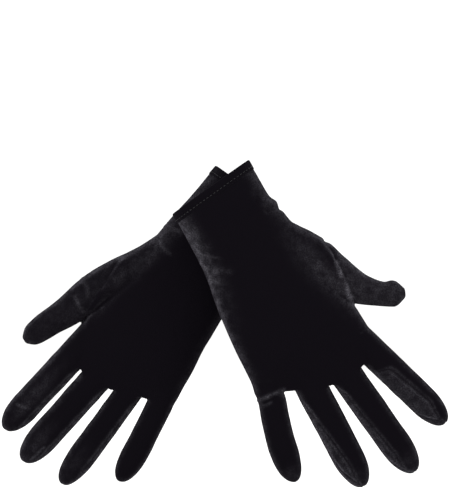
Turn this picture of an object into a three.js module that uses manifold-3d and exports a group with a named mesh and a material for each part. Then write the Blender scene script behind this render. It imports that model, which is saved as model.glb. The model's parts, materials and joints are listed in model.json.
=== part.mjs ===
// A pair of wrist-length stretch-velvet gloves, as worn: the wrists cross and the fingers hang down.
// Millimetres, +Z up, the backs of both hands face -Y. The origin lies between the crossed cuffs.
//
// Each glove is laid out flat in its own frame and then draped. In that frame x runs from the cuff to the
// fingertips, y from the little-finger side to the thumb and z from the palm to the back of the hand.
import * as THREE from "three";
import { mergeVertices } from "three/addons/utils/BufferGeometryUtils.js";
import Module from "manifold-3d";

// Overall sizes: the outlines below are drawn for a glove of the first two and follow when they change
const DRAWN_LENGTH = 230;
const DRAWN_PALM = 84;
const LENGTH = 230; // cuff to the tip of the middle finger
const PALM = 84; // across the palm, without the thumb
const CUFF_CLEARANCE = 0.2; // between the two crossed cuffs, front to back

// Cloth and making
const FABRIC = 1.2; // wall of the velvet with its knit backing
const HEM_WALL = 2; // the cuff's hem is the cloth turned in once
const HEM_DEPTH = 7; // from the cuff's edge to the end of the hem
const THREAD = 0.6; // height of the hem stitching
const THREAD_WIDTH = 1;
const THREAD_INSIDE = 2; // the stitching runs this far inside the hem's end
const SEAM_GAP = 0.3; // between two panels that are sewn together
const JOINT_GAP = 0.6; // between two panels where a finger or the knuckles bend
const STRIP = 7; // width of the strips that join the two faces of a finger
const STRIP_POINT = 1; // what is left of a strip's width at its end
const STRIP_TAPER = 12; // length over which a strip narrows to its end
const STRIP_SHORT = 5; // a strip ends this far before the fingertip
const WEB_STRIP_LEAD = 14; // the strip round a web starts this far before the roots of its two fingers
const PIVOT_CLEARANCE = 0.5; // a bend turns about a line this far outside the cloth of the palm side

// The sections of the tubes
const SQUARENESS = 2.5; // exponent of the sections: 2 is an ellipse
const FINGER_START = -24; // a finger's tube starts inside the hand, behind its root
const FINGER_DEPTH = 0.82; // a finger's thickness as a share of its width
const TIP_POWER = 2.2; // exponent of a fingertip's outline: 2 is an ellipse
const TIP_BLUNT = 0.2; // a fingertip ends at this share of the finger's width
const TIP_WALL = 0.55; // the share of a fingertip's half thickness that its wall may take up
const THUMB_DEPTH = 0.86; // the thumb's thickness as a share of its width
const THUMB_MOUND = 24; // and at most this thick at its root
const THUMB_END = { width: 6, depth: 3 };

// How the flat glove is draped
const WEB_MARGIN = 3; // the thumb starts to swing this far inside the hand's edge
const THUMB_MARGIN = 2; // and past that edge by this much, cloth belongs to the thumb alone
const PAST_THUMB = 4; // this far past the thumb's tip there is only the hand and its fingers
const THUMB_SET_BACK = 0.5; // how strongly the thumb swings towards the palm
const THUMB_EASE = 12; // distance over which that swing sets in
const DROOP_START = 4; // the fingers start to lean towards the palm this far past the knuckles
const DROOP_EASE = 14; // distance over which that lean sets in

// How finely the tubes are drawn, and how far the cutting tools reach
const HAND_SIDES = 20;
const FINGER_SIDES = 12;
const FINGER_STEPS = 7;
const FAR = 400; // longer than any part of a glove
const THUMB_RUN = 70; // past the thumb's web, longer than the thumb
const CUT_MARGIN = 1; // a tool that cuts across a finger is this much wider on each side
const THUMB_CUT = 0.8; // half width of the tool that cuts across the thumb, as a share of its width
const SAME_POINT = 1e-4; // two corners nearer than this are one
const NO_AREA = 1e-7; // a triangle smaller than this is left out
const HALF_GAP = SEAM_GAP / 2;

// The worn right hand. Points are [x, y] in the flat frame; depth is half the section's thickness.
const RIGHT = {
  side: "right",
  mirrored: false,
  lean: 35.5, // degrees from straight down
  cuff: [-6.8, 8.9], // middle of the cuff's edge, across and up
  knuckles: 122, // the line across which the four fingers bend together
  hand: [
    { line: [[0, -30.5], [0, 30.4]], depth: 18 },
    { line: [[25, -33.3], [25, 28]], depth: 17 },
    { line: [[45, -36.5], [45, 29.8]], depth: 15.5 },
    { line: [[70, -43.5], [70, 31]], depth: 14.5 },
    { line: [[95, -49], [95, 31.5]], depth: 14 },
    { line: [[115, -52], [115, 31.6]], depth: 13.5 },
    { line: [[122, -53.5], [122, 31.6]], depth: 12.5 },
    { line: [[128, -56], [139.6, -34], [153.9, -11.6], [156, 12.4], [148, 30.5]], depth: 7 },
  ],
  fingers: {
    index: { root: [159.5, 25.6], tip: [216, 36], width: 19.8, bend: 25, cap: 22, droop: 12 },
    middle: { root: [154.6, 0.9], tip: [230.3, 0.8], width: 20.8, bend: 27, cap: 24, droop: 8 },
    ring: { root: [147.6, -22.8], tip: [218.5, -32.2], width: 20.8, bend: 26, cap: 25, droop: 8 },
    little: { root: [138.2, -49], tip: [189.2, -68.2], width: 18.8, bend: 21, cap: 24, droop: 10 },
  },
  thumb: {
    spine: [
      [45, 13.5], [60, 20], [78, 27.5], [92, 32.5],
      [107, 38.7], [115.6, 45], [123, 52.6], [127.6, 58.4],
    ],
    widths: [25, 28, 30, 26, 22.4, 20, 18.6, 15],
    tip: [131.6, 63.8],
    seam: [[50, 29.5], [116.2, 31]], // where the thumb is set into the hand, ending at its web
    spread: 0.5, // slope of the free gap between the thumb and the first finger
    bend: 5, // index of the spine point where the thumb bends
  },
};

// The worn left hand, seen narrower at the wrist because the arm is turned.
const LEFT = {
  side: "left",
  mirrored: true,
  lean: 36,
  cuff: [15.9, 9.9],
  knuckles: 141,
  hand: [
    { line: [[0, -24], [0, 24]], depth: 20 },
    { line: [[25, -30], [25, 25.2]], depth: 17.5 },
    { line: [[45, -34.5], [45, 27.7]], depth: 16 },
    { line: [[70, -38.5], [70, 29.5]], depth: 14.5 },
    { line: [[100, -41.5], [100, 31]], depth: 13.5 },
    { line: [[128, -45.5], [128, 33.5]], depth: 13 },
    { line: [[141, -47.2], [141, 34.5]], depth: 12 },
    { line: [[147, -47.5], [154.3, -29], [164, -6.9], [166.2, 15.7], [158, 35.5]], depth: 7 },
  ],
  fingers: {
    index: { root: [164.6, 27.5], tip: [226.6, 34.9], width: 19.8, bend: 25, cap: 22, droop: 11 },
    middle: { root: [163, 4.8], tip: [236.6, 12.4], width: 20.8, bend: 27, cap: 24, droop: 9 },
    ring: { root: [158, -18], tip: [233.2, -17.9], width: 18.6, bend: 26, cap: 25, droop: 8 },
    little: { root: [148.9, -38.9], tip: [209, -48.7], width: 17.6, bend: 22, cap: 22, droop: 8 },
  },
  thumb: {
    spine: [
      [60, 17], [80, 24.5], [98, 33], [115, 40.8],
      [134.9, 46.4], [148, 51.4], [157, 54.6], [165.4, 57.4],
    ],
    widths: [22, 22, 24, 23.6, 21.4, 18.4, 17.4, 14],
    tip: [170.6, 59.2],
    seam: [[64, 28.5], [138, 34.8]],
    spread: 0.28,
    bend: 5,
  },
};

const VELVET = new THREE.Color("#131115");

const wasm = await Module();
wasm.setup();

// ---- Solids -------------------------------------------------------------------------------------------

// A closed geometry as a solid that can be joined and cut.
function solidOf(geometry) {
  const bare = geometry.clone();
  bare.deleteAttribute("normal");
  bare.deleteAttribute("uv");
  const merged = mergeVertices(bare, SAME_POINT);
  return new wasm.Manifold(
    new wasm.Mesh({
      numProp: 3,
      vertProperties: merged.attributes.position.array,
      triVerts: new Uint32Array(merged.index.array),
    }),
  );
}

// The loft through rings of [x, y, z] points, closed at both ends by strips between opposite points.
function loft(rings) {
  const sides = rings[0].length;
  const index = [];
  const quad = (a, b, c, d) => index.push(a, c, b, a, d, c);
  for (let k = 0; k + 1 < rings.length; k++) {
    for (let j = 0; j < sides; j++) {
      const next = (j + 1) % sides;
      quad(k * sides + j, (k + 1) * sides + j, (k + 1) * sides + next, k * sides + next);
    }
  }
  const cap = (start, turned) => {
    for (let j = 0; j < sides / 2; j++) {
      const corners = [start + j, start + j + 1, start + sides - j - 1, start + ((sides - j) % sides)];
      quad(...(turned ? corners.reverse() : corners));
    }
  };
  cap(0, false);
  cap((rings.length - 1) * sides, true);
  const geometry = new THREE.BufferGeometry();
  geometry.setAttribute("position", new THREE.Float32BufferAttribute(rings.flat(2), 3));
  geometry.setIndex(index);
  return solidOf(dropThinTriangles(geometry.toNonIndexed()));
}

// Leaves out the triangles without area that the end strips have at their two narrow ends.
function dropThinTriangles(geometry) {
  const source = geometry.attributes.position;
  const kept = [];
  const corner = [new THREE.Vector3(), new THREE.Vector3(), new THREE.Vector3()];
  const triangle = new THREE.Triangle(...corner);
  for (let i = 0; i < source.count; i += 3) {
    corner.forEach((c, k) => c.fromBufferAttribute(source, i + k));
    if (triangle.getArea() > NO_AREA) corner.forEach((c) => kept.push(c.x, c.y, c.z));
  }
  return new THREE.BufferGeometry().setAttribute("position", new THREE.Float32BufferAttribute(kept, 3));
}

// A prism on a polygon of the flat frame's x-y plane, between two heights.
function prism(points, low = -FAR, high = FAR) {
  const shape = new THREE.Shape(points.map(([x, y]) => new THREE.Vector2(x, y)));
  const geometry = new THREE.ExtrudeGeometry(shape, { depth: high - low, bevelEnabled: false });
  return solidOf(geometry.translate(0, 0, low));
}

// The slab between two distances from the cuff, and between two heights.
function slab(from, to, low = -FAR, high = FAR) {
  return prism([[from, -FAR], [to, -FAR], [to, FAR], [from, FAR]], low, high);
}

// ---- Sections -----------------------------------------------------------------------------------------

const signedPower = (value, power) => Math.sign(value) * Math.abs(value) ** power;

// The point at share u of a line of evenly shared points, carried on straight past its ends.
function along(line, u) {
  const place = u * (line.length - 1);
  const k = Math.min(Math.max(Math.floor(place), 0), line.length - 2);
  const f = place - k;
  return [0, 1].map((i) => line[k][i] * (1 - f) + line[k + 1][i] * f);
}

// One rounded section: across a line in the flat frame, and up and down by its depth.
function section({ line, depth }, sides, inset) {
  const width = Math.hypot(line.at(-1)[0] - line[0][0], line.at(-1)[1] - line[0][1]);
  const share = 1 - (2 * inset) / width;
  return Array.from({ length: sides }, (_, j) => {
    const angle = (2 * Math.PI * j) / sides;
    const across = signedPower(Math.cos(angle), 2 / SQUARENESS) * share;
    const up = signedPower(Math.sin(angle), 2 / SQUARENESS) * (depth - inset);
    return [...along(line, (1 + across) / 2), up];
  });
}

// The hand from the cuff to the webs. The inside stops one wall short of the webs and runs out of the cuff.
function handRings(glove, inset) {
  const [cuff] = glove.hand;
  const lead = { line: cuff.line.map(([x, y]) => [x - 2 * inset, y]), depth: cuff.depth };
  const stations = inset > 0 ? [lead, ...glove.hand] : glove.hand;
  return stations.map((station, k) => {
    const last = k === stations.length - 1;
    const line = last ? station.line.map(([x, y]) => [x - inset, y]) : station.line;
    return section({ line, depth: station.depth }, HAND_SIDES, inset);
  });
}

// A station across a tube: square to the direction at a point of its spine.
function across([x, y], [dx, dy], width, depth) {
  const half = width / 2;
  return { line: [[x + dy * half, y - dx * half], [x - dy * half, y + dx * half]], depth };
}

// Half-widths shrink to the tip as a quarter ellipse over the cap.
function fingerWidth({ width, cap }, length, distance) {
  const part = Math.max(0, (distance - (length - cap)) / cap);
  return width * Math.sqrt(Math.max(1 - part ** TIP_POWER, TIP_BLUNT ** 2));
}

function fingerFrame({ root, tip }) {
  const length = Math.hypot(tip[0] - root[0], tip[1] - root[1]);
  const direction = heading(root, tip);
  const at = (distance) => [root[0] + direction[0] * distance, root[1] + direction[1] * distance];
  return { length, direction, at, angle: Math.atan2(direction[1], direction[0]) };
}

function fingerRings(finger, inset) {
  const { length, direction, at } = fingerFrame(finger);
  const end = length - inset;
  const straight = [FINGER_START, 0, finger.bend, length - finger.cap];
  const capSteps = FINGER_STEPS - straight.length + 2;
  const rounded = Array.from({ length: capSteps }, (_, k) => {
    const turn = ((k + 1) / capSteps) * (Math.PI / 2);
    return end - finger.cap * (1 - Math.sin(turn));
  });
  return [...straight.filter((d, i, all) => i === 0 || d > all[i - 1] + 1), ...rounded].map((distance) => {
    const width = fingerWidth(finger, length, Math.min(distance + (distance / length) * inset, length));
    const depth = (width * FINGER_DEPTH) / 2;
    const wall = Math.min(inset, TIP_WALL * depth);
    return section(across(at(distance), direction, width, depth), FINGER_SIDES, wall);
  });
}

// The unit direction from one point of the flat frame to another.
function heading(from, to) {
  const reach = Math.hypot(to[0] - from[0], to[1] - from[1]);
  return [(to[0] - from[0]) / reach, (to[1] - from[1]) / reach];
}

function thumbStation({ spine, tip, widths }, k) {
  const points = [...spine, tip];
  const direction = heading(points[Math.max(k - 1, 0)], points[k + 1]);
  const depth = Math.min(widths[k] * THUMB_DEPTH, THUMB_MOUND) / 2;
  return across(spine[k], direction, widths[k], depth);
}

function thumbRings({ thumb }, inset) {
  const rings = thumb.spine.map((_, k) => section(thumbStation(thumb, k), FINGER_SIDES, inset));
  const direction = heading(thumb.spine.at(-1), thumb.tip);
  const end = thumb.tip.map((value, i) => value - direction[i] * inset);
  const { width, depth } = THUMB_END;
  return [...rings, section(across(end, direction, width, depth), FINGER_SIDES, inset)];
}

// Everything inside a glove's surface, moved in by an inset.
function filled(glove, inset) {
  const tubes = [loft(handRings(glove, inset)), loft(thumbRings(glove, inset))];
  for (const finger of Object.values(glove.fingers)) tubes.push(loft(fingerRings(finger, inset)));
  return tubes.reduce((all, tube) => all.add(tube));
}

// ---- Where the glove is cut and sewn ------------------------------------------------------------------

// Outside the line where the thumb is set in: everything on the thumb's side of it.
function thumbSide({ thumb }, gap) {
  const [start, web] = thumb.seam;
  const end = [web[0] + THUMB_RUN, web[1] + THUMB_RUN * thumb.spread];
  return prism([
    [start[0] + gap, start[1] + gap],
    [web[0], web[1] + gap],
    [end[0], end[1] + gap],
    [end[0], FAR],
    [start[0] + gap, FAR],
  ]);
}

// Beyond a bend: everything past a line square to a tube, within the tube's own width.
function beyond([x, y], [dx, dy], gap, halfWidth, reach = FAR) {
  const corner = (d, w) => [x + dx * d - dy * w, y + dy * d + dx * w];
  return prism([
    corner(gap, -halfWidth),
    corner(reach, -halfWidth),
    corner(reach, halfWidth),
    corner(gap, halfWidth),
  ]);
}

// The band of a finger's side strips, as a prism across the finger on one side of it.
function stripBand(finger, side, clearance) {
  const { length, angle } = fingerFrame(finger);
  const half = STRIP / 2 + clearance;
  const point = STRIP_POINT / 2 + clearance;
  const end = length - STRIP_SHORT + clearance;
  const outline = [
    [finger.bend - JOINT_GAP, -half],
    [end - STRIP_TAPER, -half],
    [end, -point],
    [end, point],
    [end - STRIP_TAPER, half],
    [finger.bend - JOINT_GAP, half],
  ];
  const shape = new THREE.Shape(outline.map(([x, y]) => new THREE.Vector2(x, y)));
  const geometry = new THREE.ExtrudeGeometry(shape, { depth: finger.width, bevelEnabled: false });
  geometry.translate(0, 0, side === "thumb" ? -finger.width : 0);
  geometry.rotateX(Math.PI / 2).rotateZ(angle).translate(finger.root[0], finger.root[1], 0);
  return solidOf(geometry);
}

// The ground of the strip between two neighbouring fingers: from inside the hand to past both bends, so
// that the strip ends at the gaps there.
function webGround(one, other, clearance) {
  const [a, b] = [fingerFrame(one), fingerFrame(other)];
  return prism([
    b.at(-WEB_STRIP_LEAD),
    b.at(other.bend + CUT_MARGIN),
    a.at(one.bend + CUT_MARGIN),
    a.at(-WEB_STRIP_LEAD),
  ].map(([x, y], k) => [x + (k === 0 || k === 3 ? -clearance : clearance), y]));
}

// ---- Draping: the flat glove leans and curls towards the palm -----------------------------------------

const eased = (distance, ease) => (distance <= 0 ? 0 : (distance * distance) / (distance + ease));

// How far a point of the flat glove moves towards the palm.
function drape(glove, x, y) {
  const { thumb, knuckles } = glove;
  const [, web] = thumb.seam;
  const edge = web[1] - WEB_MARGIN + Math.max(0, x - web[0]) * thumb.spread;
  const swing = THUMB_SET_BACK * eased(y - edge, THUMB_EASE);
  const list = Object.values(glove.fingers).map((f) => [f.root[1], Math.tan((f.droop * Math.PI) / 180)]);
  const slope = slopeAt(list, y < edge ? y : edge);
  const onThumb = y > edge + THUMB_MARGIN && x < thumb.tip[0] + PAST_THUMB;
  return swing + (onThumb ? 0 : eased(x - knuckles - DROOP_START, DROOP_EASE) * slope);
}

// The slope between the fingers' own slopes, held constant outside the outer two.
function slopeAt(list, y) {
  if (y >= list[0][0]) return list[0][1];
  for (let k = 1; k < list.length; k++) {
    const [high, low] = [list[k - 1], list[k]];
    if (y >= low[0]) return low[1] + ((high[1] - low[1]) * (y - low[0])) / (high[0] - low[0]);
  }
  return list.at(-1)[1];
}

// ---- Pieces -------------------------------------------------------------------------------------------

// The glove's own frame in the pair's frame. The left one is a mirror image.
function placement({ lean, mirrored, cuff, apart }) {
  const angle = (lean * Math.PI) / 180;
  const turn = mirrored ? -1 : 1;
  const down = new THREE.Vector3(turn * Math.sin(angle), 0, -Math.cos(angle));
  const toThumb = new THREE.Vector3(turn * Math.cos(angle), 0, Math.sin(angle));
  const back = new THREE.Vector3(0, -1, 0);
  const matrix = new THREE.Matrix4().makeBasis(down, toThumb, back);
  return matrix.setPosition(cuff[0], (-turn * apart) / 2, cuff[1]);
}

function meshOf(name, solid, glove) {
  const { numProp, vertProperties, triVerts } = solid.getMesh();
  const positions = [];
  for (let i = 0; i < vertProperties.length; i += numProp) {
    const [x, y, z] = vertProperties.slice(i, i + 3);
    positions.push(x, y, z - drape(glove, x, y));
  }
  const geometry = new THREE.BufferGeometry();
  geometry.setAttribute("position", new THREE.Float32BufferAttribute(positions, 3));
  geometry.setIndex([...triVerts]);
  geometry.computeVertexNormals();
  const material = new THREE.MeshStandardMaterial({ color: VELVET, roughness: 0.95, metalness: 0 });
  const mesh = new THREE.Mesh(geometry, material);
  mesh.name = `${glove.side}_${name}`;
  return mesh;
}

// Splits a solid at the side seams into its back and palm halves, leaving out what is sewn in between.
function faces(solid, between) {
  const rest = between ? solid.subtract(between) : solid;
  return {
    back: rest.intersect(slab(-FAR, FAR, HALF_GAP, FAR)),
    palm: rest.intersect(slab(-FAR, FAR, -FAR, -HALF_GAP)),
  };
}

// The hand's section at a distance from the cuff, on the first stretch of the hand.
function stationAt(glove, x) {
  const [cuff, next] = glove.hand;
  const share = x / next.line[0][0];
  const line = cuff.line.map(([, y], k) => [x, y + (next.line[k][1] - y) * share]);
  return { line, depth: cuff.depth + (next.depth - cuff.depth) * share };
}

// A sleeve round the hem: the hand's own section grown by a distance, between two places.
function sleeve(glove, from, to, growth) {
  return loft([from, to].map((x) => section(stationAt(glove, x), HAND_SIDES, -growth)));
}

function cuffPieces(glove) {
  const hem = loft(handRings(glove, 0)).intersect(slab(0, HEM_DEPTH - HALF_GAP));
  const [from, to] = [-1, 1].map((end) => HEM_DEPTH - THREAD_INSIDE + (end * THREAD_WIDTH) / 2);
  const thread = sleeve(glove, from, to, SEAM_GAP + THREAD);
  return {
    cuff_hem: hem.subtract(loft(handRings(glove, HEM_WALL))),
    hem_thread: thread.subtract(sleeve(glove, from - 1, to + 1, SEAM_GAP)),
  };
}

function gloveGroup(glove) {
  const outer = filled(glove, 0);
  const inner = filled(glove, FABRIC);
  const cloth = outer.subtract(inner);
  const fingers = Object.entries(glove.fingers);
  const thumbZone = thumbSide(glove, HALF_GAP);
  const notThumb = cloth.subtract(thumbSide(glove, -HALF_GAP));
  const pieces = cuffPieces(glove);

  const hand = notThumb.intersect(slab(HEM_DEPTH + HALF_GAP, glove.knuckles - JOINT_GAP / 2));
  const handFaces = faces(hand);
  pieces.back_panel = handFaces.back;
  pieces.palm_panel = handFaces.palm;

  const tips = fingers.map(([, f]) => {
    const { at, direction } = fingerFrame(f);
    return (gap) => beyond(at(f.bend), direction, gap, f.width / 2 + CUT_MARGIN);
  });
  let knuckles = notThumb.intersect(slab(glove.knuckles + JOINT_GAP / 2, FAR));
  for (const tip of tips) knuckles = knuckles.subtract(tip(-JOINT_GAP / 2));
  const webs = fingers.slice(1).map(([name, finger], k) => {
    const [before, first] = fingers[k];
    const ground = (clearance) => webGround(first, finger, clearance);
    const level = (clearance) => slab(-FAR, FAR, -STRIP / 2 - clearance, STRIP / 2 + clearance);
    pieces[`web_strip_${before}_${name}`] = knuckles.intersect(ground(0)).intersect(level(0));
    return ground(SEAM_GAP).intersect(level(SEAM_GAP));
  });
  const knuckleFaces = faces(knuckles, webs.reduce((all, web) => all.add(web)));
  pieces.knuckle_back = knuckleFaces.back;
  pieces.knuckle_palm = knuckleFaces.palm;

  fingers.forEach(([name, finger], k) => {
    const tip = cloth.intersect(tips[k](JOINT_GAP / 2));
    const sides = [k > 0 && "thumb", k < fingers.length - 1 && "little"].filter(Boolean);
    const bands = sides.map((side) => {
      const where = side === "thumb" ? "inner" : "outer";
      pieces[`${name}_${where}_strip`] = tip.intersect(stripBand(finger, side, 0));
      return stripBand(finger, side, SEAM_GAP);
    });
    const halves = faces(tip, bands.reduce((all, band) => all.add(band)));
    pieces[`${name}_back`] = halves.back;
    pieces[`${name}_palm`] = halves.palm;
  });

  const { spine, bend, widths } = glove.thumb;
  const thumb = cloth.intersect(thumbZone);
  const direction = heading(spine[bend - 1], spine[bend + 1]);
  const end = (gap) => beyond(spine[bend], direction, gap, widths[bend] * THUMB_CUT);
  const base = faces(thumb.subtract(end(-JOINT_GAP / 2)));
  const last = faces(thumb.intersect(end(JOINT_GAP / 2)));
  Object.assign(pieces, { thumb_base_back: base.back, thumb_base_palm: base.palm });
  Object.assign(pieces, { thumb_tip_back: last.back, thumb_tip_palm: last.palm });

  const group = new THREE.Group();
  for (const [name, solid] of Object.entries(pieces)) group.add(meshOf(name, solid, glove));
  group.userData.hinges = hinges(glove);
  group.matrix.copy(placement(glove));
  group.matrixAutoUpdate = false;
  return group;
}

// Where the cloth bends, in the pair's frame: a point and a direction that turns the tips to the palm.
function hinges(glove) {
  const matrix = placement(glove);
  const turn = glove.mirrored ? -1 : 1;
  const hinge = ({ line, depth }, sides) => {
    const draped = section({ line, depth }, sides, 0).map(([x, y, z]) => z - drape(glove, x, y));
    const [a, b] = [line[0], line.at(-1)].map(([x, y]) => new THREE.Vector3(x, y, 0));
    const middle = a.clone().lerp(b, 0.5).setZ(Math.min(...draped) - PIVOT_CLEARANCE);
    const axis = b.sub(a).normalize().multiplyScalar(turn).transformDirection(matrix);
    return { point: middle.applyMatrix4(matrix).toArray(), axis: axis.toArray() };
  };
  const found = { knuckles: hinge(glove.hand.at(-2), HAND_SIDES) };
  for (const [name, finger] of Object.entries(glove.fingers)) {
    const { at, direction } = fingerFrame(finger);
    const depth = (finger.width * FINGER_DEPTH) / 2;
    found[name] = hinge(across(at(finger.bend), direction, finger.width, depth), FINGER_SIDES);
  }
  found.thumb = hinge(thumbStation(glove.thumb, glove.thumb.bend), FINGER_SIDES);
  return found;
}

// A drawn glove at the size asked for: lengths follow the length, widths and depths the palm.
function sized(drawn) {
  const long = LENGTH / DRAWN_LENGTH;
  const wide = PALM / DRAWN_PALM;
  const point = ([x, y]) => [x * long, y * wide];
  const finger = (f) => ({
    ...f,
    root: point(f.root),
    tip: point(f.tip),
    width: f.width * wide,
    bend: f.bend * long,
    cap: f.cap * long,
  });
  const { thumb } = drawn;
  return {
    ...drawn,
    apart: (RIGHT.hand[0].depth + LEFT.hand[0].depth) * wide + CUFF_CLEARANCE,
    knuckles: drawn.knuckles * long,
    hand: drawn.hand.map(({ line, depth }) => ({ line: line.map(point), depth: depth * wide })),
    fingers: Object.fromEntries(Object.entries(drawn.fingers).map(([name, f]) => [name, finger(f)])),
    thumb: {
      ...thumb,
      spine: thumb.spine.map(point),
      widths: thumb.widths.map((w) => w * wide),
      tip: point(thumb.tip),
      seam: thumb.seam.map(point),
    },
  };
}

const pair = new THREE.Group();
pair.add(gloveGroup(sized(RIGHT)), gloveGroup(sized(LEFT)));

export default pair;
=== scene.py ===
"""Looks of a pair of wrist-length stretch-velvet gloves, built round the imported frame.

Each glove is worked out flat and upright, in millimetres, and then draped. In that flat frame x runs
from the cuff to the fingertips, y from the little-finger side to the thumb, and z from palm to back.
"""

import json
import logging
import math
from dataclasses import dataclass
from enum import Enum
from typing import Iterable, Sequence

import bpy
import numpy as np
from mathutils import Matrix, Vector


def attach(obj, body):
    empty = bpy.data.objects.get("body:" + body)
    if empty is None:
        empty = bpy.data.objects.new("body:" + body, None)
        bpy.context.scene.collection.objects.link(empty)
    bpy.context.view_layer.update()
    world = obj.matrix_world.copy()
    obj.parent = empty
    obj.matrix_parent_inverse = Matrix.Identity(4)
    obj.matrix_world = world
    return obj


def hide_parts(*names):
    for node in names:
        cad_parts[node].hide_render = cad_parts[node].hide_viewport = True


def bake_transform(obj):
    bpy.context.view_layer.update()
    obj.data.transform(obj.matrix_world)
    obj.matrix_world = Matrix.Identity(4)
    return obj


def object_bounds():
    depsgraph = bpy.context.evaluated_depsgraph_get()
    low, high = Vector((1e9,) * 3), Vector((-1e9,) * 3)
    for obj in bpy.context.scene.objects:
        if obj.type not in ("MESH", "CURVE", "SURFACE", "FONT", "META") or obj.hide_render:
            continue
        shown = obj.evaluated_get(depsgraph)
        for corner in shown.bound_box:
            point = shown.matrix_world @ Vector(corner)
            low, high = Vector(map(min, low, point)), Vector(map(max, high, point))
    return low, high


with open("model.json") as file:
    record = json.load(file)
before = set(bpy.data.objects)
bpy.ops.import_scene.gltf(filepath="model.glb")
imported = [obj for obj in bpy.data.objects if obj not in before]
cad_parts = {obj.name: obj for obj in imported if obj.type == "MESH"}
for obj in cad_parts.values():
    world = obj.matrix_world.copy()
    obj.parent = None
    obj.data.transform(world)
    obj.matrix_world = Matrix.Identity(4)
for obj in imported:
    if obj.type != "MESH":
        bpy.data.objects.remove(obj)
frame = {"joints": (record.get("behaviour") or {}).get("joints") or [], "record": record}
CAD_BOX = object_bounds()

log = logging.getLogger("gloves")
MM = 0.001

# How finely the skin is drawn: the side of its cells, in millimetres
CELL = 0.85
SECTION_POINTS = 64
SQUARENESS = 2.5  # exponent of the sections, where 2 is an ellipse


class Side(Enum):
    """Which hand a glove is for."""

    RIGHT = "right"
    LEFT = "left"


class Zone(Enum):
    """The stretch of a glove that one set of panels covers."""

    HAND = 0
    INDEX = 1
    MIDDLE = 2
    RING = 3
    LITTLE = 4
    THUMB = 5


class Panel(Enum):
    """The cut pieces of cloth that are sewn together."""

    BACK = 0
    PALM = 1
    STRIP = 2


class Face(Enum):
    """The face of the hand that a fold lies on."""

    BACK = 1.0
    PALM = -1.0
    BOTH = 0.0


# ---- Small mathematics ------------------------------------------------------------------------------


def smoothstep(low: float, high: float, value: np.ndarray) -> np.ndarray:
    """The usual S-curve, 0 below low and 1 above high.

    Args:
        low: Where the curve leaves 0.
        high: Where it reaches 1.
        value: Any array of numbers.

    Returns:
        3t squared minus 2t cubed, where t is the clipped share of the way from low to high.
    """
    t = np.clip((value - low) / (high - low), 0.0, 1.0)
    return t * t * (3.0 - 2.0 * t)


def signed_power(value: np.ndarray, power: float) -> np.ndarray:
    """Raises the size of a number to a power and keeps its sign."""
    return np.sign(value) * np.abs(value) ** power


def spline_rows(rows: np.ndarray, count: int) -> np.ndarray:
    """A smooth curve through rows of numbers, evenly spaced in the row number.

    Args:
        rows: One row for each control station.
        count: How many rows to return.

    Returns:
        Rows on the Catmull-Rom cubic through the stations, with its ends carried on straight.
    """
    first = 2 * rows[:1] - rows[1:2]
    last = 2 * rows[-1:] - rows[-2:-1]
    ends = np.concatenate([first, rows, last])
    place = np.linspace(0, len(rows) - 1, count)
    k = np.minimum(place.astype(int), len(rows) - 2)
    t = (place - k)[:, None]
    a, b, c, d = (ends[k + i] for i in range(4))
    cubic = 3 * b - a - 3 * c + d
    return 0.5 * (2 * b + (c - a) * t + (2 * a - 5 * b + 4 * c - d) * t**2 + cubic * t**3)


def lattice_noise(points: np.ndarray, cell: float, seed: int) -> np.ndarray:
    """Smooth seeded noise between -1 and 1.

    Args:
        points: Places, one row each.
        cell: Distance between two random values of the lattice.
        seed: Picks the lattice.

    Returns:
        The random values of the eight lattice corners round each point, mixed by S-curves on each axis.
    """
    size = 64
    lattice = np.random.default_rng(seed).uniform(-1.0, 1.0, (size, size, size))
    scaled = points / cell + size
    base = np.floor(scaled).astype(int)
    t = scaled - base
    t = t * t * (3.0 - 2.0 * t)
    total = np.zeros(len(points))
    for corner in range(8):
        step = np.array([(corner >> axis) & 1 for axis in range(3)])
        weight = np.prod(np.where(step, t, 1.0 - t), axis=1)
        i, j, k = ((base + step) % size).T
        total += weight * lattice[i, j, k]
    return total


def distance_to_line(xy: np.ndarray, line: np.ndarray) -> np.ndarray:
    """Distance from points to a line of straight stretches, all in the flat frame's x-y plane."""
    best = np.full(len(xy), np.inf)
    for start, end in zip(line[:-1], line[1:]):
        run = end - start
        share = np.clip((xy - start) @ run / (run @ run), 0.0, 1.0)
        best = np.minimum(best, np.linalg.norm(xy - start - share[:, None] * run, axis=1))
    return best


# ---- The shape of a glove -----------------------------------------------------------------------------


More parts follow.
